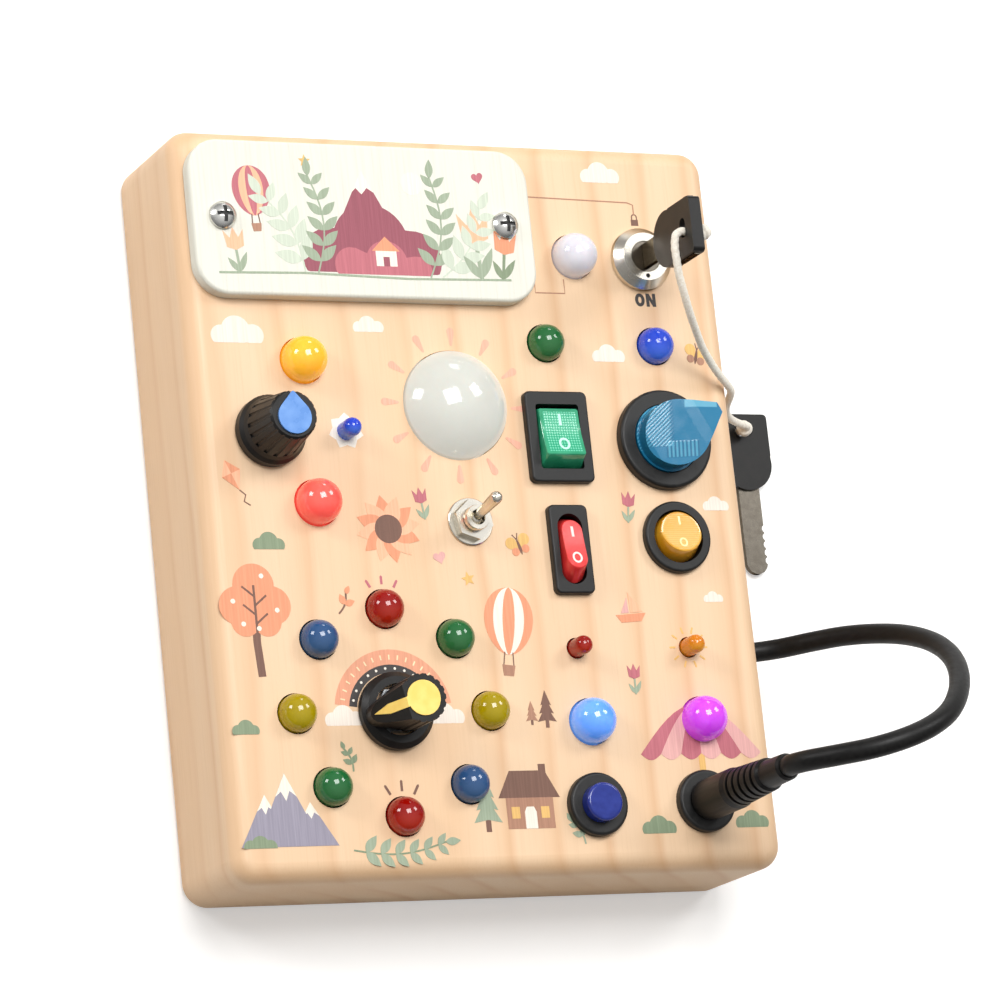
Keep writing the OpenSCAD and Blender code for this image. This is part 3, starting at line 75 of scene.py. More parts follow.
def plug(node, inputs):
    # a list fills the sockets in use from the top; a node gives its first output in use
    if isinstance(inputs, dict):
        pairs = [(node.inputs[key], value) for key, value in inputs.items()]
    else:
        pairs = zip([socket for socket in node.inputs if socket.enabled], inputs)
    for socket, value in pairs:
        if isinstance(value, bpy.types.Node):
            value = next(output for output in value.outputs if output.enabled)
        if isinstance(value, bpy.types.NodeSocket):
            node.id_data.links.new(value, socket)
        else:
            socket.default_value = value


def placed(name, data):
    obj = bpy.data.objects.new(name, data)
    bpy.context.scene.collection.objects.link(obj)
    return obj


def addNode(tree, kind, inputs=(), stops=None, **settings):
    node = tree.nodes.new("ShaderNode" + kind)
    for key, value in settings.items():
        setattr(node, key, value)
    plug(node, inputs)
    if stops:
        points = node.color_ramp.elements
        while len(points) < len(stops):
            points.new(0.5)
        for point, (position, code) in zip(points, stops):
            point.position = position
            point.color = linear(code)
    return node


# Camera, found by fitting the board's outline and its lamps.

camera = Values(
    at=(-517.94, -277.75, 1094.21), forward=(0.43233, 0.22934, -0.87206),
    up=(-0.00678, 0.96791, 0.25119), lens=165.3, sensor=36, reach=50)


def makeCamera():
    forward = Vector(camera.forward).normalized()
    right = forward.cross(Vector(camera.up)).normalized()
    data = bpy.data.cameras.new("camera")
    data.lens = camera.lens
    data.sensor_width = camera.sensor
    data.clip_end = camera.reach
    obj = placed("camera", data)
    obj.matrix_world = Matrix.Translation(Vector(camera.at) * mm) @ Matrix(
        (right, right.cross(forward), -forward)).transposed().to_4x4()
    bpy.context.scene.camera = obj


makeCamera()

# Mesh tools, all in millimetres.


def makePiece(name, points, faces, materials, body, faceMaterials=None, smooth=True, sharp=35,
              weld=False):
    mesh = bpy.data.meshes.new(name)
    mesh.from_pydata([Vector(p) * mm for p in points], [], faces)
    for material in materials:
        mesh.materials.append(material)
    if faceMaterials:
        mesh.polygons.foreach_set("material_index", faceMaterials)
    work = bmesh.new()
    work.from_mesh(mesh)
    if weld:
        bmesh.ops.remove_doubles(work, verts=work.verts, dist=0.001 * mm)
    bmesh.ops.recalc_face_normals(work, faces=work.faces)
    work.to_mesh(mesh)
    work.free()
    if smooth:
        mesh.shade_smooth()
        mesh.set_sharp_from_angle(angle=radians(sharp))
    obj = placed(name, mesh)
    if body:
        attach(obj, body)
    return obj


def turned(points, at=(0, 0), turn=0):
    c, s = cos(radians(turn)), sin(radians(turn))
    return [(at[0] + c * x - s * y, at[1] + s * x + c * y) for x, y in points]


def arc(x, y, a, b, start, end, steps=24):
    angles = [radians(start + (end - start) * k / steps) for k in range(steps + 1)]
    return [(x + a * cos(v), y + b * sin(v)) for v in angles]


def circle(r, steps=28, at=(0, 0)):
    return arc(*at, r, r, 0, 360, steps)[:-1]


def sides(n, low, high):
    # the faces between two rings of n points that start at low and at high
    return [(low + k, low + (k + 1) % n, high + (k + 1) % n, high + k) for k in range(n)]


def lathe(profile, at=(0, 0), steps=72):
    # profile runs from the axis, out, and back to the axis
    points, faces, low = [], [], []
    for r, z in profile:
        start = len(points)
        points += [(x, y, z) for x, y in circle(r, steps, at)] if r else [(*at, z)]
        high = list(range(start, len(points)))
        for k in range(steps if low else 0):
            n = (k + 1) % steps
            if len(low) == 1 and len(high) > 1:
                faces.append((low[0], high[k], high[n]))
            elif len(high) == 1 and len(low) > 1:
                faces.append((low[k], low[n], high[0]))
            elif len(low) > 1:
                faces.append((low[k], low[n], high[n], high[k]))
        low = high
    return points, faces


def prism(outline, low, high):
    n = len(outline)
    points = [(x, y, z) for z in (low, high) for x, y in outline]
    return points, [tuple(range(n))[::-1], tuple(range(n, 2 * n))] + sides(n, 0, n)


def addSolid(points, faces, solid):
    faces += [tuple(len(points) + i for i in face) for face in solid[1]]
    points += solid[0]
    return len(solid[1])


def smoothPath(route, steps):
    # a rounded curve through the route's points
    points = [Vector(p) for p in route]
    points = [2 * points[0] - points[1]] + points + [2 * points[-1] - points[-2]]
    path = []
    for i in range(1, len(points) - 2):
        a, b, c, d = points[i - 1:i + 3]
        for t in [k / steps for k in range(steps)]:
            path.append(0.5 * (2 * b + (c - a) * t + (2 * a - 5 * b + 4 * c - d) * t * t
                               + (3 * b - a - 3 * c + d) * t ** 3))
    return path + [points[-2]]


def sweep(path, section):
    # section(i, along) gives the ring's points (side, out) there
    points, faces = [], []
    side = None
    along = 0
    for i, p in enumerate(path):
        tangent = (path[min(i + 1, len(path) - 1)] - path[max(i - 1, 0)]).normalized()
        guess = side if side else Vector((0, 0, 1) if abs(tangent.z) < 0.8 else (0, 1, 0))
        side = (guess - tangent * guess.dot(tangent)).normalized()
        over = tangent.cross(side)
        if i:
            along += (p - path[i - 1]).length
        ring = section(i, along)
        n = len(ring)
        if i:
            faces += sides(n, len(points) - n, len(points))
        points += [p + side * u + over * v for u, v in ring]
    faces += [tuple(range(n))[::-1], tuple(range(len(points) - n, len(points)))]
    return points, faces


# Materials.

# the emission sockets give the domes a painted glow, which evens out their shading
socketNames = dict(metallic="Metallic", ior="IOR", clear="Transmission Weight", coat="Coat Weight",
                   coatRough="Coat Roughness", sheen="Sheen Weight", milky="Subsurface Weight",
                   milkyDepth="Subsurface Scale", shine="Specular IOR Level",
                   edge="Specular Tint", glow="Emission Strength", glowColour="Emission Color")


def nodesOf(owner):
    # empties the owner's node tree and gives the way to add nodes to it
    owner.use_nodes = True
    owner.node_tree.nodes.clear()
    return functools.partial(addNode, owner.node_tree)


def newMaterial(name):
    material = bpy.data.materials.new(name)
    add = nodesOf(material)
    shader = add("BsdfPrincipled")
    add("OutputMaterial", [shader])
    return material, add, shader, add("TexCoord").outputs


def finish(add, shader, colour, cloud, rough, height, depth, **sockets):
    # colour, a roughness that wanders with the cloud, and fine relief
    roughness = add("MapRange", [cloud, 0.3, 0.7, *rough])
    relief = add("Bump", {"Height": height, "Distance": depth * mm, "Strength": 1.0})
    plug(shader, {"Base Color": colour, "Roughness": roughness, "Normal": relief})
    plug(shader, {socketNames[key]: value for key, value in sockets.items()})


def moulded(name, colour, second, grain=(3, 3, 3), contrast=(0.35, 0.65), rough=(0.3, 0.4),
            bump=0.01, bumpGrain=0.25, **sockets):
    # two close colours in a noise of that grain, with its own roughness and fine relief
    material, add, shader, where = newMaterial(name)
    place = where["Object"]
    scaled = add("Mapping", {"Vector": place, "Scale": [perMm(g) for g in grain]})
    cloud = add("TexNoise", [scaled, 1.0, 3.0])
    ramp = add("ValToRGB", [cloud], stops=list(zip(contrast, (colour, second))))
    fine = add("TexNoise", [place, perMm(bumpGrain), 2.0])
    finish(add, shader, ramp, cloud, rough, fine, bump, **sockets)
    return material


# Radiata pine, planed and sanded, clear satin lacquer: faint straight grain runs up the face,
# and the same rings show as soft lines along the sides.
# The edge colour is painted shade on the rounded edges, and its share says how much.
pine = Values(
    early="#e8c8a5", mid="#e3bf99", late="#d8ac83", band="#e3be97", fibre="#d4b189", edge="#d29f6c",
    edgeShare=0.25, pith=(-236, -196), ringMm=11.2, phase=0.32, waveMm=(60, 132, 60), waveDepth=2.2,
    bandMm=(26, 300, 26), fibreMm=(0.5, 26, 0.5), rough=(0.42, 0.56))


def pineWood():
    material, add, shader, where = newMaterial("lacqueredPine")
    place = where["Object"]

    def noise(size, detail):
        scaled = add("Mapping", {"Vector": place, "Scale": [perMm(s) for s in size]})
        return add("TexNoise", [scaled, 1.0, detail])

    wave = noise(pine.waveMm, 2.5).outputs["Color"]
    centred = add("VectorMath", [wave, (0.5, 0.5, 0.5)], **minus)
    shift = add("VectorMath", [centred, [4 * pine.waveDepth * mm] * 3], **times)
    moved = add("VectorMath", [place, shift], operation="ADD")
    offset = add("VectorMath", [moved, (pine.pith[0] * mm, 0, pine.pith[1] * mm)], **minus)
    flat = add("VectorMath", [offset, (1, 0.02, 1)], **times)
    radius = add("VectorMath", [flat], operation="LENGTH")
    rings = add("Math", [radius, perMm(pine.ringMm)], **times)
    phased = add("Math", [rings, pine.phase], operation="ADD")
    ring = add("Math", [phased], operation="FRACT")
    ringColour = add("ValToRGB", [ring], stops=[
        (0.0, pine.early), (0.35, pine.early), (0.68, pine.mid), (0.84, pine.late),
        (1.0, pine.early)])
    bandShare = add("MapRange", [noise(pine.bandMm, 1.5), 0.4, 0.62, 0.3, 0.92])
    ground = add("Mix", [bandShare, ringColour, linear(pine.band)], **rgba)
    fibre = noise(pine.fibreMm, 4.0)
    fibreShare = add("MapRange", [fibre, 0.5, 0.78, 0.0, 0.3])
    mixed = add("Mix", [fibreShare, ground, linear(pine.fibre)], **rgba)
    # painted shade: the rounded edges are painted a little darker, for the shade they turn into
    slope = add("SeparateXYZ", [where["Normal"]]).outputs["Z"]
    rise = add("MapRange", [slope, 0.1, 0.4, 0.0, pine.edgeShare])
    fall = add("MapRange", [slope, 0.8, 0.97, 1.0, 0.0])
    rounded = add("Math", [rise, fall], **times)
    edgeShaded = add("Mix", [rounded, mixed, linear(pine.edge)], **rgba)
    finish(add, shader, edgeShaded, fibre, pine.rough, fibre, 0.03, ior=1.5)
    return material


wood = pineWood()
# Poplar plywood, sanded, bare: broad soft figure with fine pores along the board.
plywood = moulded(
    "sandedPlywood", "#dcc096", "#cfae80", grain=(2, 60, 2), rough=(0.6, 0.75), bump=0.04,
    bumpGrain=0.4, ior=1.5)
# Lime plywood under two coats of white paint: the brush-fine grain still shows as pale streaks.
whitePaint = moulded(
    "whitePaintedPlywood", "#dfddd0", "#d6d3c6", grain=(0.7, 26, 0.7), contrast=(0.45, 0.75),
    rough=(0.45, 0.6), bump=0.03, bumpGrain=0.5, ior=1.5)
# Nickel-plated brass, satin: bright and soft, with darker edges.
nickel = moulded(
    "satinNickel", "#f0ebe0", "#e4ded1", grain=(4, 4, 4), rough=(0.2, 0.28), bump=0.0006,
    bumpGrain=0.8, metallic=1.0, edge=linear("#6d665c"))
# The same plating, duller and darker, on the lock's plug and the keys' blades.
darkerNickel = moulded(
    "darkerNickel", "#8d867b", "#756e64", grain=(1.6, 1.6, 1.6), rough=(0.2, 0.26), bump=0.0005,
    bumpGrain=1.0, metallic=1.0, edge=linear("#4a443c"))
# Chromed steel screw heads: bright, with a soft gleam.
chrome = moulded(
    "chromedSteel", "#f6f5f1", "#eae9e5", grain=(5, 5, 5), rough=(0.2, 0.26), bump=0.0004,
    bumpGrain=1.0, metallic=1.0, edge=linear("#8d8a84"))
# Zinc-plated steel, pressed: a duller bluish grey with a soft spangle.
zincSteel = moulded(
    "zincPlatedSteel", "#b9bbbd", "#a2a5a8", grain=(1.5, 1.5, 1.5), rough=(0.28, 0.4), bump=0.004,
    bumpGrain=0.2, metallic=1.0)
# Brass contacts, rolled: warm yellow with fine drawing lines.
brass = moulded(
    "rolledBrass", "#cfae62", "#b8954c", grain=(0.3, 4, 0.3), rough=(0.25, 0.38), bump=0.004,
    bumpGrain=0.2, metallic=1.0)
# ABS, moulded, spark-eroded mould: near black with a fine satin grain.
satinAbs = moulded(
    "satinBlackAbs", "#0e0d0c", "#171514", grain=(4, 4, 4), rough=(0.36, 0.46), bump=0.012,
    bumpGrain=0.22, ior=1.53, shine=0.28)
# Nylon switch frame, moulded: flat black with a dry, slightly grey grain.
nylonBlack = moulded(
    "mouldedBlackNylon", "#0f0f0f", "#1a1918", grain=(2, 2, 2), rough=(0.4, 0.55), bump=0.015,
    bumpGrain=0.3, ior=1.53, shine=0.35)
# ABS, grey, moulded, inside the case.
greyAbs = moulded(
    "mouldedGreyAbs", "#4a4c50", "#55575b", rough=(0.45, 0.6), bump=0.012, bumpGrain=0.3, ior=1.53)
# Soft PVC, extruded: black cable jacket with a low sheen and faint lengthwise die lines.
softPvc = moulded(
    "extrudedBlackPvc", "#0b0a0a", "#141312", grain=(1, 1, 12), rough=(0.38, 0.5), bump=0.01,
    bumpGrain=0.35, ior=1.53, shine=0.22)
# Polycarbonate, opal, moulded: milky white with a wet gloss, and a painted glow that evens
# out its shading.
opal = moulded(
    "opalPolycarbonate", "#a6a69f", "#a0a099", grain=(9, 9, 9), rough=(0.08, 0.12), bump=0.001,
    bumpGrain=1.0, ior=1.58, milky=0.15, milkyDepth=2 * mm, glow=0.34, glowColour=linear("#fffff4"))


def tintedOpal(name, colour, second, glow=0.3):
    # polycarbonate dyed in the mass: light enters, spreads a few millimetres and leaves again;
    # a painted glow in its paler colour evens out its shading
    return moulded(
        name, colour, second, grain=(7, 7, 7), rough=(0.06, 0.11), bump=0.001, bumpGrain=1.0,
        ior=1.58, milky=0.12, milkyDepth=2 * mm, coat=0.3, coatRough=0.03, glow=glow,
        glowColour=linear(second))


amberOpal = tintedOpal("amberPolycarbonate", "#f9a81f", "#fdb936")
redOpal = tintedOpal("redPolycarbonate", "#f04a42", "#fb5f54")
lavenderOpal = tintedOpal("lavenderPolycarbonate", "#c9c6cf", "#d6d3da", 0.2)
skyOpal = tintedOpal("skyBluePolycarbonate", "#4f8df2", "#6aa2fb")
magentaOpal = tintedOpal("magentaPolycarbonate", "#b42bd2", "#c845e2")


def tintedEpoxy(name, colour, lower, upperBoard=None):
    # cast epoxy lens: dyed through and mirror smooth, and painted paler on its faces turned down
    # the board, as painted light for what the lens gathers low down; upperBoard is the dye of the
    # lamps in the board's upper half, again with a painted paler colour
    material, add, shader, where = newMaterial(name)
    normal = add("SeparateXYZ", [where["Normal"]])
    paintedLightShare = add("MapRange", [normal.outputs["Y"], -0.6, 0.1, 1.0, 0.0])
    shades = [add("Mix", [paintedLightShare, linear(dark), linear(paintedPale)], **rgba)
              for dark, paintedPale in [(colour, lower)] + ([upperBoard] if upperBoard else [])]
    tint = shades[0]
    if upperBoard:
        place = add("SeparateXYZ", [where["Object"]])
        upper = add("Math", [place.outputs["Y"], 0.0], operation="GREATER_THAN")
        tint = add("Mix", [upper, *shades], **rgba)
    cloud = add("TexNoise", [where["Object"], perMm(5), 2.0])
    finish(add, shader, tint, cloud, (0.03, 0.07), cloud, 0.01, ior=1.55, clear=0.2)
    return material


# the second colour of each lens is painted light, on its faces turned down the board
redEpoxy = tintedEpoxy("redEpoxy", "#9e0c04", "#c42c14")
greenEpoxy = tintedEpoxy("greenEpoxy", "#226e38", "#397d45")
yellowEpoxy = tintedEpoxy("yellowEpoxy", "#b29a02", "#c6af0c")
blueEpoxy = tintedEpoxy("blueEpoxy", "#31588a", "#426898", ("#2e53e4", "#4a76fa"))
deepBlueEpoxy = tintedEpoxy("deepBlueEpoxy", "#2346d8", "#4a78f2")
amberEpoxy = tintedEpoxy("amberEpoxy", "#e8860f", "#f7a428")


def clearWall(name, colour, second):
    # clear dyed polycarbonate, polished: the dark inside shows through a little
    return moulded(
        name, colour, second, grain=(5, 5, 5), rough=(0.07, 0.12), bump=0.001, bumpGrain=1.0,
        ior=1.58, clear=0.3, coat=0.4, coatRough=0.04)


def bands(add, vector, way, pitch):
    # ridges a pitch apart across that way, from 0 in the valleys to 1 on top
    return add("TexWave", [vector, perMm(pitch) * pi / 10], wave_type="BANDS",
               bands_direction=way, wave_profile="TRI").outputs["Fac"]


def prisms(add, shader, where, colour, height, depth, rough):
    # the look of clear polycarbonate with prisms under its skin
    cloud = add("TexNoise", [where["Object"], perMm(3), 2.0])
    finish(add, shader, colour, cloud, rough, height, depth, ior=1.58, clear=0.12)


def prismGrid(name, valley, peak, pitch, depth, rows):
    # the lit window of a rocker: rows of fine prisms under a clear skin; the ridges are real
    # relief, and their paler colour is a painted glint, for the light they catch
    material, add, shader, where = newMaterial(name)
    place = where["Object"]
    height = bands(add, place, "Y", pitch)
    if not rows:
        height = add("Math", [height, bands(add, place, "X", pitch)], **times)
    ramp = add("ValToRGB", [height], stops=[(0.12, valley), (0.5, peak)])
    prisms(add, shader, where, ramp, height, depth, (0.16, 0.24))
    return material


greenWall = clearWall("greenPolycarbonate", "#2aab7a", "#48c292")
greenClear = prismGrid("greenPrisms", "#22a67a", "#74dab4", 0.75, 0.03, rows=False)
amberWall = clearWall("amberPolycarbonateClear", "#f2a81e", "#fcbf3c")
amberClear = prismGrid("amberPrisms", "#e29a1c", "#f0b443", 0.6, 0.02, rows=True)
# Patches on the blue knob's top: left, right, low and high edges from its axis, and the fade.
# wall and top are the dye, with the top painted a little paler; the third colour is painted light,
# on the wall that faces up the board and in a painted highlight patch on the top; the paler peak on
# the prisms' ridges is a painted glint
blueKnob = Values(
    at=(56, 16.7), turn=42, wall="#12719b", top="#1c7ba4", lit="#6ab4d0", valley="#15688f",
    peak="#4ea3c4", fine=0.8, coarse=1.05, depth=0.02, slantPatch=(-12, -2.4, -3.6, 9, 1.6),
    lip=(2.2, 11.4, 6.7, 14, 0.3), lowPatch=(-3.2, 5.4, -6.6, -2.6, 0.3))


def blueClearKnob():
    # clear blue moulding: painted paler on top, with painted light on the wall that faces up the
    # board and a painted highlight patch on the top; prisms run slantwise over its round end and up
    # and down near its lower rim, their ridges painted paler as a painted glint
    material, add, shader, where = newMaterial("bluePolycarbonate")
    normal = add("SeparateXYZ", [where["Normal"]])
    onTop = add("MapRange", [normal.outputs["Z"], 0.55, 0.8])
    paintedLitWallMask = add("MapRange", [normal.outputs["Y"], 0.5, 0.85])
    centred = add("VectorMath", [where["Object"], [c * mm for c in blueKnob.at] + [0]], **minus)
    slant = add(
        "VectorRotate", {"Vector": centred.outputs[0], "Angle": -radians(blueKnob.turn)},
        rotation_type="Z_AXIS")
    place = add("SeparateXYZ", [centred])

    def between(way, low, high, fade):
        up = add("MapRange", [place.outputs[way], (low - fade) * mm, low * mm])
        down = add("MapRange", [place.outputs[way], high * mm, (high + fade) * mm, 1.0, 0.0])
        return add("Math", [up, down], **times)

    def patch(x0, x1, y0, y1, fade):
        return add("Math", [between("X", x0, x1, fade), between("Y", y0, y1, 0.3)], **times)

    left, low = patch(*blueKnob.slantPatch), patch(*blueKnob.lowPatch)
    fine = add("Math", [bands(add, slant, "Y", blueKnob.fine), left], **times)
    coarse = add("Math", [bands(add, centred, "X", blueKnob.coarse), low], **times)
    height = add("Math", [fine, coarse], operation="ADD")
    area = add("Math", [left, low], operation="ADD")
    ribs = add("ValToRGB", [height], stops=[(0.2, blueKnob.valley), (0.75, blueKnob.peak)])
    top, lit, wall = (linear(code) for code in (blueKnob.top, blueKnob.lit, blueKnob.wall))
    plain = add("Mix", [patch(*blueKnob.lip), top, lit], **rgba)
    flat = add("Mix", [area, plain, ribs], **rgba)
    side = add("Mix", [paintedLitWallMask, wall, lit], **rgba)
    colour = add("Mix", [onTop, side, flat], **rgba)
    raised = add("Math", [height, onTop], **times)
    prisms(add, shader, where, colour, raised, blueKnob.depth, (0.12, 0.2))
    return material


blueClear = blueClearKnob()
# ABS, moulded in a polished mould: bright with a wet gloss.
redGloss = moulded("glossRedAbs", "#d92f2f", "#e23c3a", rough=(0.16, 0.24), bump=0.001, ior=1.53)
blueGloss = moulded("glossBlueAbs", "#1b2a7c", "#24358c", rough=(0.12, 0.2), bump=0.001, ior=1.53)
capBlue = moulded("blueAbsCap", "#5b8dd2", "#6a9adb", rough=(0.25, 0.35), bump=0.004, ior=1.53)
inlayYellow = moulded("yellowAbsInlay", "#f9d066", "#fcd974", bump=0.004, ior=1.53)
# Cotton yarn, twisted: warm white, matt, with loose fibres.
cotton = moulded(
    "twistedCotton", "#f4eee2", "#e3dac9", grain=(0.5, 0.5, 0.5), rough=(0.85, 0.95), bump=0.05,
    bumpGrain=0.18, sheen=0.4)
# Glass-fibre board under green solder mask, and PVC wire insulation.
solderMask = moulded(
    "greenSolderMask", "#0d5a30", "#126a3a", rough=(0.3, 0.42), bump=0.006, ior=1.5)
wirePvc = moulded("redWirePvc", "#a3201b", "#b52c24", rough=(0.35, 0.45), ior=1.53)
# Steel battery can in a printed plastic sleeve.
batterySleeve = moulded(
    "greenBatterySleeve", "#1f6d4c", "#2b7d5a", grain=(20, 5, 5), rough=(0.2, 0.3), bump=0.002,
    ior=1.5)
print("materials made")

# Power cable and key string, on the same routes as their solids.

cable = Values(thick=5.5, steps=8, sides=20, exit=(79, -37.8, 19), top=(56.2, -82.1, 85.1), route=[
    (73, -37.8, 19), (79, -37.8, 19), (86, -37.7, 19.6), (93, -37.4, 23), (99, -37.2, 30),
    (104, -37.6, 38.6), (108.4, -39, 47.6), (111.6, -41.4, 57), (113, -45, 66.6),
    (112.6, -49.6, 75.6), (110.4, -55, 83.8), (106.4, -61, 91.4), (101, -67, 98),
    (94.6, -72.4, 103), (87, -76.6, 106), (78.8, -79.6, 106.4), (70.8, -81.4, 103.6),
    (63.6, -82, 98.4), (58.2, -82.1, 92.4), (56.2, -82.1, 88), (56.2, -82.1, 85.1)])
keyString = Values(thick=2.2, knot=4.6, steps=10, lay=5.5, strands=3, route=[
    (61.8, 66.6, 67.1), (61, 66.6, 67.1), (59.8, 66.6, 67.1), (58.6, 66.6, 67.1),
    (57.7, 66.6, 67.1), (55.4, 66.6, 67.1), (53, 66.6, 67.1), (51.4, 65.4, 67),
    (51, 62.4, 66.6), (51.4, 59, 66), (52.4, 55.4, 64.6), (54.6, 51, 62.2),
    (57.6, 46.8, 58.6), (61.4, 43.2, 54), (65.2, 40, 49.6), (69.2, 37.2, 45.8),
    (73, 34.6, 42.8), (76.6, 32.8, 40), (79.6, 31.6, 36.8), (81.4, 31, 32.6), (83, 30.6, 28),
    (85, 30.4, 23.4), (87.8, 30.2, 18.6), (91.2, 30, 14.4), (94.8, 29.9, 11.2),
    (97.8, 29.8, 9.4), (99.3, 29.7, 8.4), (99.8, 29.7, 7.2), (99.9, 29.7, 6), (99.9, 29.7, 4.8),
    (99.9, 29.7, 3.9), (99.9, 29.7, 2.6), (99.9, 29.7, 1.2)])
# The string's knots: behind the key in the lock and on top of the spare key.
knots = Values(at=((59.9, 66.6, 67.1), (99.9, 29.7, 6.0)), reach=1.25)


def makeCable():
    path = smoothPath(cable.route, cable.steps)
    ring = circle(cable.thick / 2, cable.sides)
    piece = makePiece("powerCableJacket", *sweep(path, lambda i, along: ring), [softPvc], None)
    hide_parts("power_cable")
    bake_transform(piece)


def makeString():
    path = smoothPath(keyString.route, keyString.steps)
    growth = keyString.knot / keyString.thick - 1

    def section(i, along):
        swell = max(1 + growth * exp(-((path[i] - Vector(at)).length / knots.reach) ** 4)
                    for at in knots.at)
        spin = 2 * pi * along / keyString.lay
        ring = []
        for a in [2 * pi * k / 24 for k in range(24)]:
            lobe = 0.84 + 0.16 * abs(cos(keyString.strands * (a - spin) / 2)) ** 0.7
            r = keyString.thick / 2 * swell * lobe
            ring.append((r * cos(a), r * sin(a)))
        return ring

    piece = makePiece("keyStringYarn", *sweep(path, section), [cotton], None, sharp=60)
    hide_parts("key_string")
    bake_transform(piece)


makeCable()
makeString()
print("cords laid")

# Solids kept from the frame, in their own finishes.

finishes = [
    (wood, "wooden_case"), (plywood, "back_panel battery_cover"), (whitePaint, "name_plate"),
    (zincSteel, "back_screws pot_body pot_shaft selector_shaft push_button_spring panel_nuts"),
    (nickel, "key_lock_body toggle_body toggle_washer toggle_nut toggle_lever plug_barrel"),
    (darkerNickel, "key_lock_plug key_blade spare_key_blade"), (chrome, "name_plate_screws"),
    (brass, "battery_contacts"), (greyAbs, "battery_box"), (batterySleeve, "batteries"),
    (satinAbs, "key_head spare_key_head pot_knob selector_knob"), (capBlue, "pot_knob_cap"),
    (nylonBlack, "selector_body green_rocker_housing red_rocker_housing round_rocker_housing"
                 " blue_knob_housing push_button_housing jack_body"),
    (softPvc, "plug_grip cable_grommet"), (inlayYellow, "selector_pointer"),
    (greenWall, "green_rocker"), (redGloss, "red_rocker"), (amberWall, "round_rocker"),
    (blueClear, "blue_knob"), (blueGloss, "push_button_cap"), (opal, "sun_dome"),
    (amberOpal, "amber_dome"), (redOpal, "red_dome"), (lavenderOpal, "lavender_dome"),
    (skyOpal, "light_blue_dome"), (magentaOpal, "magenta_dome"),
    (redEpoxy, "red_lamps small_red_lamp"), (greenEpoxy, "green_lamps"),
    (yellowEpoxy, "yellow_lamps"), (blueEpoxy, "blue_lamps"), (amberEpoxy, "small_amber_lamp"),
    (deepBlueEpoxy, "small_blue_lamp"), (solderMask, "ring_circuit_board"),
    (wirePvc, "wire_harness")]

for material, nodes in finishes:
    for node in nodes.split():
        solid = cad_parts[node]
        for place in solid.material_slots:
            place.material = material
        if not solid.material_slots:
            solid.data.materials.append(material)
print("solids finished")

# Printed pattern: screen inks on the wood and the plate, in motifs of plain shapes.

inkColours = dict(
    clay="#d99473", wheat="#ecd3a8", terracotta="#dd8f68", coral="#f3b08a", peach="#e3a68c",
    rose="#b4606a", dustyRose="#d9a29b", sage="#93a087", moss="#7b8a6c", lilac="#8d8796",
    brown="#a5765c", umber="#6e4a3a", cream="#eae0d0", white="#e9e0d2", haze="#e6d9cb",
    black="#2b2523", ochre="#dcae62", plum="#8f4452", mist="#c3cbb8")
inks = {}
# ink heights, a little over the real ones, and how far a print reaches into the wood
printFilm = Values(base=0.03, layer=0.004, order=0.002, sunk=0.02)


def ink(colour):
    # screen-print ink: a matt film that lets the wood's fibres show faintly
    if colour not in inks:
        code = inkColours[colour]
        lighter = "#" + "".join(f"{min(255, int(code[i:i + 2], 16) + 14):02x}" for i in (1, 3, 5))
        inks[colour] = moulded("screenInk_" + colour, code, lighter, grain=(0.5, 18, 0.5),
                               contrast=(0.4, 0.7), rough=(0.5, 0.62), bump=0.02,
                               bumpGrain=0.4, ior=1.5)
    return inks[colour]


def printed(top, place, name, layers, x=0, y=0, turn=0):
    # each layer is (outline, ink); later layers and later places lie on the earlier ones
    points, faces, kinds, materials = [], [], [], []
    for order, (outline, colour) in enumerate(layers):
        material = ink(colour)
        if material not in materials:
            materials.append(material)
        high = top + printFilm.base + printFilm.layer * order + printFilm.order * place
        solid = prism(turned(outline, (x, y), turn), top - printFilm.sunk, high)
        count = addSolid(points, faces, solid)
        kinds += [materials.index(material)] * count
    makePiece(name, points, faces, materials, "board", kinds, smooth=False)


def scaled(size, points):
    return [tuple(c * size for c in p) for p in points]


def allScaled(size, layers):
    return [(scaled(size, outline), colour) for outline, colour in layers]


def oblong(x0, y0, x1, y1):
    return [(x0, y0), (x1, y0), (x1, y1), (x0, y1)]


def hoop(x, y, a, b, thick, start, end, steps=24):
    # part of an oval ring
    return (arc(x, y, a, b, start, end, steps)
            + arc(x, y, a - thick, b - thick, start, end, steps)[::-1])


def lobes(circles, base=None, size=1):
    # outline round several circles, cut flat at base
    circles = scaled(size, circles)
    cx, cy = (sum(c[i] for c in circles) / len(circles) for i in (0, 1))
    line = []
    for dx, dy in circle(1, 96):
        reach = 0
        for x, y, r in circles:
            along = (x - cx) * dx + (y - cy) * dy
            off = (x - cx) * dy - (y - cy) * dx
            if abs(off) < r:
                reach = max(reach, along + sqrt(r * r - off * off))
        y = cy + dy * reach
        line.append((cx + dx * reach, y if base is None else max(y, base * size)))
    return line


def stroke(points, width):
    # a line of even width through the points
    left, right = [], []
    for i, (x, y) in enumerate(points):
        ax, ay = points[max(i - 1, 0)]
        bx, by = points[min(i + 1, len(points) - 1)]
        d = hypot(bx - ax, by - ay)
        nx, ny = -(by - ay) / d * width / 2, (bx - ax) / d * width / 2
        left.append((x + nx, y + ny))
        right.append((x - nx, y - ny))
    return left + right[::-1]


def bothSides(line):
    # closes an outline that starts and ends on the axis of symmetry, which runs upwards
    return line + [(-x, y) for x, y in line[-2:0:-1]]


def leaf(length, width, at=(0, 0), turn=0, steps=12):
    top = [(length * k / steps, width / 2 * sin(pi * (k / steps) ** 0.85))
           for k in range(steps + 1)]
    return turned(top + [(x, -y) for x, y in top[-2:0:-1]], at, turn)


def cloudShape(w):
    return [(lobes([(-0.3, 0, 0.19), (-0.02, 0.09, 0.27), (0.3, 0.01, 0.2)], -0.13, w), "haze")]


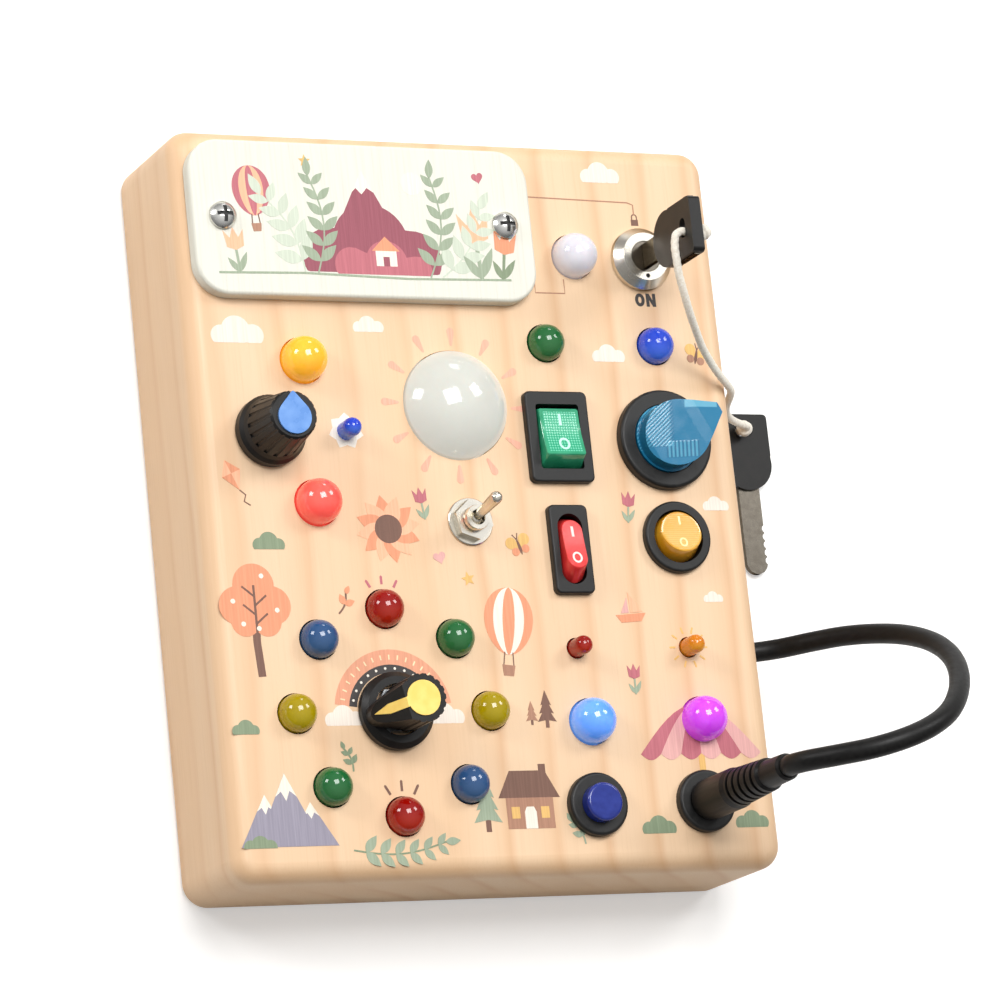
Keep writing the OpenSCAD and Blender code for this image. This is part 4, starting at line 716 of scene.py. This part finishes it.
def heartShape(w, colour):
    line = [(w / 32 * 16 * sin(t) ** 3, w / 32 * (
            13 * cos(t) - 5 * cos(2 * t) - 2 * cos(3 * t) - cos(4 * t)))
            for t in [2 * pi * k / 40 for k in range(40)]]
    return [(line, colour)]


def starShape(r, colour):
    spokes = [(r * (0.45 if k % 2 else 1), pi * (k / 5 + 0.5)) for k in range(10)]
    return [([(long * cos(a), long * sin(a)) for long, a in spokes], colour)]


def sprig(length, pairs, leafLength, leafWidth, colour, stem=None, bend=0.12):
    # a stem with leaves in pairs and one at the tip, growing up from the origin
    def spine(t):
        return bend * length * sin(pi * t), length * t

    layers = [(stroke([spine(k / 12) for k in range(13)], 0.45), stem or colour)]
    for i in range(pairs):
        at = spine((i + 0.8) / (pairs + 0.6))
        share = 1 - 0.35 * i / pairs
        layers += [(leaf(leafLength * share, leafWidth * share, at, 90 + side), colour)
                   for side in (-48, 48)]
    return layers + [(leaf(leafLength * 0.8, leafWidth * 0.8, spine(0.96), 90), colour)]


def firShape(h, colour):
    tiers = ((0.16, 0.6, 0.27), (0.38, 0.8, 0.21), (0.6, 1.0, 0.15))
    return allScaled(h, [(oblong(-0.05, 0, 0.05, 0.25), "umber")] + [
        ([(-half, low), (0, low + 0.05), (half, low), (0, high)], colour)
        for low, high, half in tiers])


def balloonShape(w, main, stripe):
    def envelope(half):
        return bothSides([
            (half * sin(pi * k / 24) * (1 - 0.28 * (1 - k / 24) ** 2) if k else 0,
             -0.75 * w + 1.25 * w * (1 - cos(pi * k / 24)) / 2) for k in range(25)])

    layers = [(envelope(0.52 * w), main), (envelope(0.33 * w), stripe), (envelope(0.13 * w), main)]
    for side in (-w, w):
        layers.append((stroke([(side * 0.08, -0.7 * w), (side * 0.1, -0.95 * w)], 0.3), "umber"))
    basket = [(-0.13, -0.94), (0.13, -0.94), (0.1, -1.14), (-0.1, -1.14)]
    return layers + [(scaled(w, basket), "brown")]


def flowerShape(r, petals, petalInk, centreInk, centreShare=0.4, second=None):
    width = 2.0 * r * sin(pi / petals)
    layers = [(leaf(r, width, turn=360 * k / petals + 90, steps=10),
               second if second and k % 2 else petalInk) for k in range(petals)]
    return layers + [(circle(r * centreShare), centreInk)]


def tulipShape(h, bloom, green):
    cup = [(0, 0.52), (0.2, 0.6), (0.24, 0.98), (0.1, 0.8), (0, 1.04)]
    return [(stroke([(0, 0), (0, 0.56 * h)], 0.06 * h), green),
            (leaf(0.5 * h, 0.14 * h, (0, 0.02 * h), 62), green),
            (leaf(0.42 * h, 0.13 * h, (0, 0.02 * h), 124), green),
            (bothSides(scaled(h, cup)), bloom)]


def butterflyShape(w, wing, lower):
    layers = []
    for side in (-1, 1):
        layers += [(lobes([(side * 0.25, 0.16, 0.2), (side * 0.14, 0.05, 0.13)], size=w), wing),
                   (circle(0.14 * w, at=(side * 0.19 * w, -0.16 * w)), lower),
                   (stroke([(0, 0.2 * w), (side * 0.1 * w, 0.42 * w)], 0.25), "umber")]
    return layers + [(leaf(0.6 * w, 0.11 * w, (0, -0.32 * w), 90), "umber")]


def mountains(w):
    layers = []
    for x, h, half in ((-0.22, 0.5, 0.27), (0.24, 0.42, 0.26), (0.0, 0.7, 0.34)):
        snow = ((0, 1), (0.32, 0.68), (0.12, 0.76), (0, 0.62), (-0.14, 0.75), (-0.32, 0.68))
        layers += [([(x - half, 0), (x + half, 0), (x, h)], "lilac"),
                   ([(x + across * half, up * h) for across, up in snow], "cream")]
    bushes = lobes([(-0.4, 0, 0.07), (-0.3, 0.02, 0.09), (-0.2, 0, 0.07)], -0.01, w)
    return allScaled(w, layers) + [(bushes, "moss")]


def cottage(w):
    door = [(-0.1, 0), (0.1, 0), (0.1, 0.26), (0.06, 0.34), (-0.06, 0.34), (-0.1, 0.26)]
    return allScaled(w, [
        (oblong(0.2, 0.55, 0.32, 1.0), "umber"), (oblong(-0.4, 0, 0.4, 0.52), "brown"),
        ([(-0.52, 0.48), (0.52, 0.48), (0.3, 0.9), (-0.3, 0.9)], "umber"), (door, "cream"),
        (oblong(0.18, 0.16, 0.32, 0.34), "ochre"), (oblong(-0.32, 0.16, -0.18, 0.34), "ochre")])


def parasol(r, gores=6):
    # a striped sunshade: gores between scallops along its rim
    layers = [(oblong(-0.05, -1.05, 0.05, 0), "ochre")]
    parts = [j / 8 for j in range(9)]
    for k in range(gores):
        a, b = -1 + 2 * k / gores, -1 + 2 * (k + 1) / gores
        low = [(a + (b - a) * t, -0.09 * sin(pi * t)) for t in parts]
        left, right = ([(rim * (1 - t), 0.74 * sin(pi * t / 2)) for t in parts]
                       for rim in (a, b))
        layers.append((low[::-1] + left[1:] + right[-2:0:-1], "dustyRose" if k % 2 else "rose"))
    return allScaled(r, layers)


def treeShape(h):
    crown = lobes([(-0.16, 0.62, 0.17), (0.16, 0.62, 0.17), (0, 0.8, 0.19), (-0.1, 0.48, 0.13),
                   (0.1, 0.48, 0.13)], size=h)
    layers = [(scaled(h, stroke([(0.01, 0), (-0.01, 0.3), (0, 0.62)], 0.07)), "umber"),
              (crown, "terracotta"), (scaled(h, stroke([(0, 0.3), (0, 0.8)], 0.022)), "umber")]
    for side, y in ((0.11, 0.46), (-0.11, 0.54), (0.11, 0.62), (-0.11, 0.7)):
        layers.append((scaled(h, stroke([(0, y), (side, y + 0.09)], 0.018)), "umber"))
    fruit = ((-0.2, 0.66), (0.2, 0.58), (0.08, 0.88), (-0.12, 0.46), (0.02, 0.42))
    return layers + [(circle(0.022 * h, 14, at), "cream") for at in scaled(h, fruit)]


def boatShape(w):
    return allScaled(w, [([(-0.5, 0), (0.5, 0), (0.32, -0.24), (-0.34, -0.24)], "terracotta"),
                         ([(0, 0.04), (0, 0.66), (0.4, 0.04)], "coral"),
                         ([(-0.06, 0.04), (-0.06, 0.5), (-0.32, 0.04)], "dustyRose")])


def allRound(outline, count, start, step, colour):
    return [(turned(outline, turn=start + step * k), colour) for k in range(count)]


def rays(count, start, step, inner, outer, width, colour):
    half = width / 2
    ray = [(inner, -half), (outer - half, -half), (outer, 0), (outer - half, half), (inner, half)]
    return allRound(ray, count, start, step, colour)


def dropRays(count, start, inner, outer, width, colour):
    # drops round a circle, each narrow towards it and round at the far end
    r, tip = width / 2, 0.16 * width
    drop = arc(outer - r, 0, r, r, 100, -100, 10) + arc(inner + tip, 0, -tip, -tip, 80, -80, 4)
    return allRound(drop, count, start, 360 / count, colour)


dial = Values(
    at=(-31, -56.7), low=10.4, dots=11.6, mid=12.6, ticks=15.2, high=16.6, start=8, end=172,
    tickCount=17, dotCount=12)


def dialArc():
    def band(low, high, colour):
        return hoop(0, 0, high, high, high - low, dial.start, dial.end), colour

    span = dial.end - dial.start
    tick = oblong(dial.mid + 1.3, -0.2, dial.ticks, 0.2)
    layers = [band(dial.mid, dial.high, "clay"), band(dial.low, dial.mid, "black")]
    layers += allRound(tick, dial.tickCount, dial.start + 6,
                       (span - 12) / (dial.tickCount - 1), "wheat")
    for x, y in arc(0, 0, dial.dots, dial.dots, dial.start + 8, dial.end - 8, dial.dotCount - 1):
        layers.append((circle(0.36, 10, (x, y)), "white"))
    return layers


def wordOn():
    h, w, thick = 1.85, 1.45, 0.95
    x0, x1 = 0.05, 0.05 + 2 * w
    return [(outline, "black") for outline in (
        hoop(-1.85, 0, w, h, thick, 0, 180, 16), hoop(-1.85, 0, w, h, thick, 180, 360, 16),
        oblong(x0, -h, x0 + thick, h), oblong(x1 - thick, -h, x1, h),
        [(x0, h), (x0 + thick, h), (x1, -h), (x1 - thick, -h)])]


def padlock():
    shackle = [(-0.75, 0.1), (-0.75, 0.9), *arc(0, 0.9, 0.75, 0.75, 180, 0, 10), (0.75, 0.1)]
    return [(oblong(-1.1, -1.5, 1.1, 0.2), "umber"), (stroke(shackle, 0.35), "umber")]


def bush(half, side, middle, other, base, lift=0.9, far=None):
    # three lobes cut flat: a smaller one on either side of the middle one
    return [(lobes([(-half, 0, side), (0, lift, middle), (far or half, 0, other)], base), "moss")]


lineToLamp = [(22, 61.0), (22.8, 61.0), (22.8, 57.6), (31.6, 57.6), (31.6, 61.6)]
lineToLock = [(22, 84.6), (53.6, 84.0), (55.2, 83.4), (55.2, 80.6)]
kite = [([(0, 4.4), (2.8, 0.6), (0, -4.2), (-2.8, 0.6)], "coral"),
        ([(0, 4.4), (2.8, 0.6), (0, 0.6)], "terracotta"),
        ([(0, 0.6), (-2.8, 0.6), (0, -4.2)], "terracotta"),
        (stroke([(0, -4.2), (0.9, -6), (-0.3, -7.4), (0.8, -9)], 0.3), "umber")]
facePrints = [
    ("sunRays", dropRays(12, -2, 16.3, 21.4, 2.1, "peach"), -4.5, 25.8),
    ("dialArc", dialArc(), *dial.at),
    ("dialCloudLeft", cloudShape(11), -45.2, -58.6),
    ("dialCloudRight", cloudShape(11), -16.6, -58.4),
    ("daisyPetals", flowerShape(5, 7, "white", "white", 0.5), -36.8, 18.3),
    ("smallRays", rays(10, 0, 36, 3.9, 5.8, 0.5, "ochre"), 56.8, -40.2),
    ("wordOn", wordOn(), 56, 56.4),
    ("padlockMark", padlock(), 55.2, 79),
    ("lampRaysLow", rays(3, 60, 30, 6.6, 9.6, 0.7, "umber"), -31, -84),
    ("lampRaysHigh", rays(3, 60, 30, 6.6, 9, 0.7, "rose"), -31, -29.4),
    ("lineToLamp", [(stroke(lineToLamp, 0.35), "brown")]),
    ("lineToLock", [(stroke(lineToLock, 0.35), "brown")]),
    ("cloudOne", cloudShape(15), -65, 43.6),
    ("cloudTwo", cloudShape(9), -27.5, 46.6),
    ("cloudThree", cloudShape(10), 42.6, 40),
    ("cloudFour", cloudShape(8), 70, -1.4),
    ("cloudFive", cloudShape(6), 66, -27),
    ("cloudSix", cloudShape(12), 46, 91),
    ("tallTree", treeShape(30), -67, -47),
    ("seedFlower", flowerShape(9.2, 12, "terracotta", "umber", 0.42, "coral"), -27.5, -8, 10),
    ("balloon", balloonShape(14.5, "terracotta", "cream"), 4.6, -31, -6),
    ("cottage", cottage(17), 5, -88),
    ("cottageFir", firShape(15, "sage"), -7.4, -88.6),
    ("mountains", mountains(27), -63.4, -91),
    ("parasol", parasol(18), 57, -69),
    ("grassLeft", bush(3, 2, 2.8, 2.1, -1.2, 0.8), 42, -89),
    ("grassRight", bush(3, 2, 2.6, 1.9, -1.2, 0.8), 70, -88),
    ("lyingSprig", sprig(27, 6, 5.4, 2.6, "sage", "moss", 0.08), -46, -92.4, -86),
    ("butterflyLow", butterflyShape(8, "ochre", "terracotta"), 9.8, -12.4, 18),
    ("butterflyHigh", butterflyShape(8, "ochre", "brown"), 69.4, 41, -14),
    ("firOne", firShape(10, "umber"), 12.6, -61.4),
    ("firTwo", firShape(6.4, "brown"), 8.2, -60.6),
    ("starOne", starShape(2, "ochre"), -6, -21.4, 12),
    ("heartOne", heartShape(3.6, "dustyRose"), -13.6, -15.6, 14),
    ("tulipOne", tulipShape(8.4, "rose", "sage"), -16.6, -5.4, 8),
    ("tulipTwo", tulipShape(8.4, "rose", "sage"), 43, -6, -6),
    ("tulipThree", tulipShape(8, "rose", "sage"), 39.6, -52.8),
    ("boat", boatShape(9), 40.6, -31, 4),
    ("kite", kite, -70, 6, 24),
    ("bushOne", bush(2.6, 1.9, 2.6, 1.8, -1.1, far=2.7), -61.6, -12.4),
    ("bushTwo", bush(2.2, 1.6, 2.2, 1.5, -0.9, 0.7), -72.6, -61),
    ("sprigSmall", sprig(6.4, 2, 2.8, 1.5, "moss"), -44, -72, 20),
    ("sprigTerracotta", sprig(6, 1, 3, 1.8, "terracotta", "umber"), -43.8, -30.6, -24),
    ("sprigCorner", sprig(7.2, 2, 3.2, 1.7, "sage"), 20, -92.4, 30)]
hills = [(lobes([(-12, -4, 8), (0, 0, 11), (12, -4, 8)], -8), "plum"),
         (lobes([(-6, -6, 5), (4, -5, 6), (13, -7, 4)], -8.4), "rose")]
peak = [([(-8.5, -1), (0, 15.5), (8.5, -1)], "plum"),
        ([(0, 15.5), (3.1, 9.5), (1.2, 10.7), (-0.4, 8.9), (-2.0, 10.6), (-3.1, 9.5)], "cream")]
hut = [(oblong(-3, 0, 3, 4.4), "cream"), ([(-4.0, 4.2), (4.0, 4.2), (0, 8.2)], "terracotta"),
       (oblong(-0.9, 0, 0.9, 2.6), "plum")]
grassLine = [(-44, 0), (-20, 0.5), (10, -0.3), (40, 0.2)]
platePrints = [
    ("plateHills", hills, -26, 68.4), ("platePeak", peak, -27, 73.2),
    ("plateMoon", [(circle(3.2), "cream")], -12.6, 85.6),
    ("plateHut", hut, -22, 62.4),
    ("plateSprigOne", sprig(25, 5, 8, 3.6, "mist"), -45.5, 59.6, 28),
    ("plateSprigTwo", sprig(28, 6, 6.6, 2.8, "sage"), -42, 59.8, 2),
    ("plateSprigThree", sprig(24, 5, 7.4, 3.4, "mist"), -6, 59.8, -32),
    ("plateSprigFour", sprig(29, 6, 6.6, 2.8, "sage"), -9.6, 59.6, -4),
    ("plateBalloon", balloonShape(11, "rose", "coral"), -59, 83.4, 4),
    ("plateTulipOne", tulipShape(19, "coral", "sage"), 5.4, 59.4, 4),
    ("plateTulipTwo", tulipShape(14, "terracotta", "moss"), 11.6, 59.4, -8),
    ("plateTulipThree", tulipShape(12, "coral", "sage"), -64, 59.4, 6),
    ("plateHeart", heartShape(3.4, "rose"), 7, 88, 12),
    ("plateStar", starShape(1.8, "ochre"), -43, 90.8),
    ("plateGrass", [(stroke(grassLine, 0.6), "sage")], -26, 59.4)]

for prints, top in ((facePrints, faceZ), (platePrints, plateTop)):
    for place, values in enumerate(prints):
        printed(top, place, *values)
print("prints laid")

# Rockers, each with two slopes, a ridge at either end and its two marks.

rocker = Values(pivot=faceZ - 0.4, lean=-11, endHeight=4.6, low=-3, pin=1.1, reach=0.55,
                mark=(-0.05, 0.06))
rockers = dict(
    green=Values(at=(24.3, 17.1), half=6.05, long=8.6, corner=0.7, ridge=6.7, ridgeHalf=5.75,
                 frame=0.9, dip=0.6, bar=(0, 3.6), ring=(0, -3.5), size=0.95, wall=greenWall,
                 window=greenClear),
    red=Values(at=(24.3, -13.7), half=3.35, long=9.3, corner=3.35, ridge=6.9, ridgeHalf=3.0,
               frame=0.5, dip=0.25, bar=(0, 3.6), ring=(0, -3.9), size=0.85, wall=redGloss,
               window=redGloss),
    round=Values(at=(56.6, -10.2), half=7.0, long=7.0, corner=7.0, ridge=5.8, ridgeHalf=6.0,
                 frame=0.5, dip=0.25, bar=(0, 3.3), ring=(0, -3.1), size=0.7, wall=amberWall,
                 window=amberClear))
markInks = dict(green=moulded("greenMoulding", "#b9f2da", "#c9f7e4", rough=(0.2, 0.3), ior=1.5),
                red=moulded("whitePaintFill", "#f0d9d2", "#f6e4de", rough=(0.4, 0.5), ior=1.5),
                round=moulded("amberMoulding", "#ffe39a", "#ffedb4", rough=(0.2, 0.3), ior=1.5))


def rockerTop(values, y):
    # height over the pivot: two slopes that meet in the middle
    share = min(1, abs(y) / values.ridge)
    return rocker.endHeight - values.dip * (1 - share ** 1.4)


def planRing(half, long, corner):
    # closed outline of a rounded rectangle, right side upwards and left side downwards
    x, y = half - corner, long - corner
    right = (arc(x, -y, corner, corner, -90, 0, 8) + [(half, y * k / 4 - y) for k in range(1, 8)]
             + arc(x, y, corner, corner, 0, 90, 8))
    return right + [(-x, y) for x, y in right[::-1]]


def leaning(values, points):
    # from the rocker's own frame to its place in the board at rest
    c, s = cos(radians(rocker.lean)), sin(radians(rocker.lean))
    x0, y0 = values.at
    return [(x0 + x, y0 + c * y - s * z, rocker.pivot + s * y + c * z) for x, y, z in points]


def makeRocker(kind, values):
    # the foot stays as far from the pivot as the rim
    shrink = sqrt(values.long ** 2 - rocker.low ** 2) / values.long
    across = shrink if kind == "round" else 1
    foot = planRing(values.half * across, values.long * shrink, values.corner * across)
    rim = planRing(values.half, values.long, values.corner)
    corner = values.ridgeHalf if kind != "green" else values.corner
    ridge = planRing(values.ridgeHalf, values.ridge, corner)
    inner = values.frame
    window = planRing(values.ridgeHalf - inner, values.ridge - inner, max(corner - inner, 0.2))

    def blended(share, rise):
        return [(x + (u - x) * share, y + (v - y) * share,
                 rockerTop(values, y) * (1 - share) - rise) for (x, y), (u, v) in zip(ridge, rim)]

    n = len(rim)
    points = ([(x, y, rocker.low) for x, y in foot] + [(x, y, 0) for x, y in rim]
              + blended(0.1, 0) + blended(0.03, -0.02)
              + [(x * 0.985, y * 0.985, rockerTop(values, y)) for x, y in ridge]
              + [(x, y, rockerTop(values, y)) for x, y in window])
    faces = []
    for level in range(5):
        faces += sides(n, level * n, (level + 1) * n)
    kinds = [0] * len(faces)
    top = 5 * n
    for k in range(n // 2 - 1):
        faces += [(top + k, top + k + 1, top + n - 2 - k, top + n - 1 - k),
                  (k + 1, k, n - 1 - k, n - 2 - k)]
        kinds += [1, 0]
    reach = values.half + rocker.reach
    pinPoints, pinFaces = prism(circle(rocker.pin, 16), -reach, reach)
    kinds += [0] * addSolid(points, faces, ([(z, x, y) for x, y, z in pinPoints], pinFaces))
    piece = makePiece(
        kind + "RockerCap", leaning(values, points), faces, [values.wall, values.window],
        kind + "_rocker", kinds, weld=True)
    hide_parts(kind + "_rocker")


def rockerMark(kind, name, outline):
    values = rockers[kind]
    points = [(x, y, rockerTop(values, y) + rise) for rise in rocker.mark for x, y in outline]
    makePiece(kind + "Rocker" + name, leaning(values, points), prism(outline, 0, 0)[1],
              [markInks[kind]], kind + "_rocker", smooth=False)


for kind, values in rockers.items():
    makeRocker(kind, values)
    size = values.size
    x, y = values.bar
    steps = [y - 1.7 * size + 3.4 * size * j / 8 for j in range(9)]
    rockerMark(kind, "On", [(x - 0.42 * size, j) for j in steps]
               + [(x + 0.42 * size, j) for j in steps[::-1]])
    for name, start, end in (("OffLeft", 90, 270), ("OffRight", 0, 90), ("OffLow", 270, 360)):
        rockerMark(kind, name, hoop(*values.ring, 1.7 * size, 1.9 * size, 0.65 * size,
                                    start, end, (end - start) * 4 // 45))

# Details: the lock's index dot, dark crosses on the plate screws as painted shade for their
# recesses, the toggle's thread and washer, and the button's spring.
lockIndex = Values(at=(55.4, 62.15), radius=0.6, low=faceZ + 3.4, high=faceZ + 3.62)
plateScrews = dict(Left=(-67.68, 74.8), Right=(13.68, 74.8))
# the dark crosses sit just under the tops of the plate screws' heads: painted shade for the
# Phillips recesses
cross = Values(arm=4.3, wide=0.96, low=faceZ + 5.35, high=faceZ + 5.95)
toggleAt = (-3.8, -6)
thread = Values(low=faceZ + 3.2, high=faceZ + 5.2, pitch=0.5, radius=3.22, core=2.9, crest=3.36)
coil = Values(wire=0.6, turns=5, steps=24)


def lockDot():
    low, high = lockIndex.low, lockIndex.high
    profile = [(0, low), (lockIndex.radius, low), (lockIndex.radius, high), (0, high)]
    makePiece("lockDot", *lathe(profile, lockIndex.at, 24), [nylonBlack], "board")


def screwRecessShade(name, at):
    a, b = cross.arm / 2, cross.wide / 2
    outline = [(b, -a), (b, -b), (a, -b), (a, b), (b, b), (b, a), (-b, a), (-b, b), (-a, b),
               (-a, -b), (-b, -b), (-b, -a)]
    makePiece(name, *prism(turned(outline, at), cross.low, cross.high), [nylonBlack],
              "board", smooth=False)


def bushingThread():
    profile = [(thread.core, thread.low)]
    for k in range(round((thread.high - thread.low) / thread.pitch)):
        z = thread.low + k * thread.pitch
        profile += [(thread.radius, z + 0.05), (thread.crest, z + thread.pitch / 2)]
    profile += [(thread.radius, thread.high), (thread.core, thread.high), profile[0]]
    makePiece("toggleThread", *lathe(profile, toggleAt, 48), [nickel], "board", sharp=20)


def toggleWasher():
    profile = [(3.3, 0), (6.2, 0), (6.4, 0.2), (6.4, 0.6), (6.2, 0.8), (3.3, 0.8), (3.3, 0)]
    washer = makePiece(
        "toggleWasher", *lathe([(r, faceZ + z) for r, z in profile], toggleAt, 96), [nickel],
        "board")
    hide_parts("toggle_washer")


def buttonSpring():
    # the wire is swept up its helix over the height of the spring's solid, and keeps that length,
    # though the real spring shortens as the button travels inwards
    low, high = (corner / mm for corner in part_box("push_button_spring"))
    middle, wire = (low + high) / 2, coil.wire / 2
    radius = (high.x - low.x) / 2 - wire
    count = coil.turns * coil.steps
    rise = (high.z - low.z - 2 * wire) / count
    helix = arc(middle.x, middle.y, radius, radius, 0, 360 * coil.turns, count)
    path = [Vector((x, y, low.z + wire + rise * k)) for k, (x, y) in enumerate(helix)]
    spring = makePiece(
        "buttonSpring", *sweep(path, lambda i, along: circle(wire, 8)), [zincSteel], "board")
    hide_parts("push_button_spring")
    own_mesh(spring)


lockDot()
for side, at in plateScrews.items():
    screwRecessShade("screwRecessShade" + side, at)
bushingThread()
toggleWasher()
buttonSpring()
print("details made")

# Floor, backdrop and lights.

studio = Values(
    floor="#e4e3e1", floorGrain="#e8e7e5", zenith=0.5, horizon=0.08, lean=0.2, glossyShare=1.4,
    floorLift=0.36, floorNear=0.3, floorFar=1.1, floorHalf=4, floorHeight=-0.0001)
lamps = dict(over=Values(at=(-0.1, 0.52, 1.7), size=0.8, watts=23),
             upperRight=Values(at=(1.15, 0.8, 1.25), size=0.54, watts=9),
             upperLeft=Values(at=(-1.25, 0.7, 0.6), size=0.44, watts=7.4),
             top=Values(at=(0.3, 1.1, 0.34), size=0.2, watts=0.8))


def makeFloor():
    # matt paper, which pales to plain white with distance
    half, height = studio.floorHalf, studio.floorHeight
    mesh = bpy.data.meshes.new("studioFloor")
    mesh.from_pydata([(x, y, height) for x, y in oblong(-half, -half, half, half)], [],
                     [(0, 1, 2, 3)])
    floor = placed("studioFloor", mesh)
    material = bpy.data.materials.new("matPaperSweep")
    add = nodesOf(material)
    place = add("TexCoord").outputs["Object"]
    grain = add("TexNoise", [place, perMm(2), 2.0])
    ramp = add("ValToRGB", [grain], stops=[(0.3, studio.floor), (0.7, studio.floorGrain)])
    paper = add("BsdfDiffuse", [ramp])
    seen = add("LightPath").outputs["Is Camera Ray"]
    far = add("VectorMath", [place], operation="LENGTH")
    paling = add("MapRange", [far, studio.floorNear, studio.floorFar, studio.floorLift, 1.0])
    strength = add("Math", [seen, paling], **times)
    lift = add("Emission", {"Strength": strength})
    add("OutputMaterial", [add("AddShader", [paper, lift])])
    mesh.materials.append(material)


def makeWorld():
    # plain white behind the object; as light it comes from overhead and from beyond the top
    # edge, and it is dim at the horizon; gloss sees it a little brighter
    world = bpy.data.worlds.new("whiteStudio")
    bpy.context.scene.world = world
    add = nodesOf(world)
    way = add("SeparateXYZ", [add("TexCoord").outputs["Generated"]])
    high = add("Math", [way.outputs["Y"], studio.lean, way.outputs["Z"]], operation="MULTIPLY_ADD")
    sky = add("MapRange", [high, 0.0, 1.0, studio.horizon, studio.zenith])
    ray = add("LightPath")
    glossy = add("MapRange", [ray.outputs["Is Glossy Ray"], 0.0, 1.0, 1.0, studio.glossyShare])
    light = add("Math", [sky, glossy], **times)
    strength = add("Mix", [ray.outputs["Is Camera Ray"], light, 1.0])
    add("OutputWorld", [add("Background", [(1, 1, 1, 1), strength])])


def makeLamps():
    for name, values in lamps.items():
        data = bpy.data.lights.new(name, "AREA")
        data.size = values.size
        data.energy = values.watts
        obj = placed(name, data)
        obj.location = values.at
        obj.rotation_euler = (-Vector(values.at)).to_track_quat("-Z", "Y").to_euler()


makeFloor()
makeWorld()
makeLamps()
bpy.context.scene.view_settings.view_transform = "Standard"
print("studio set")
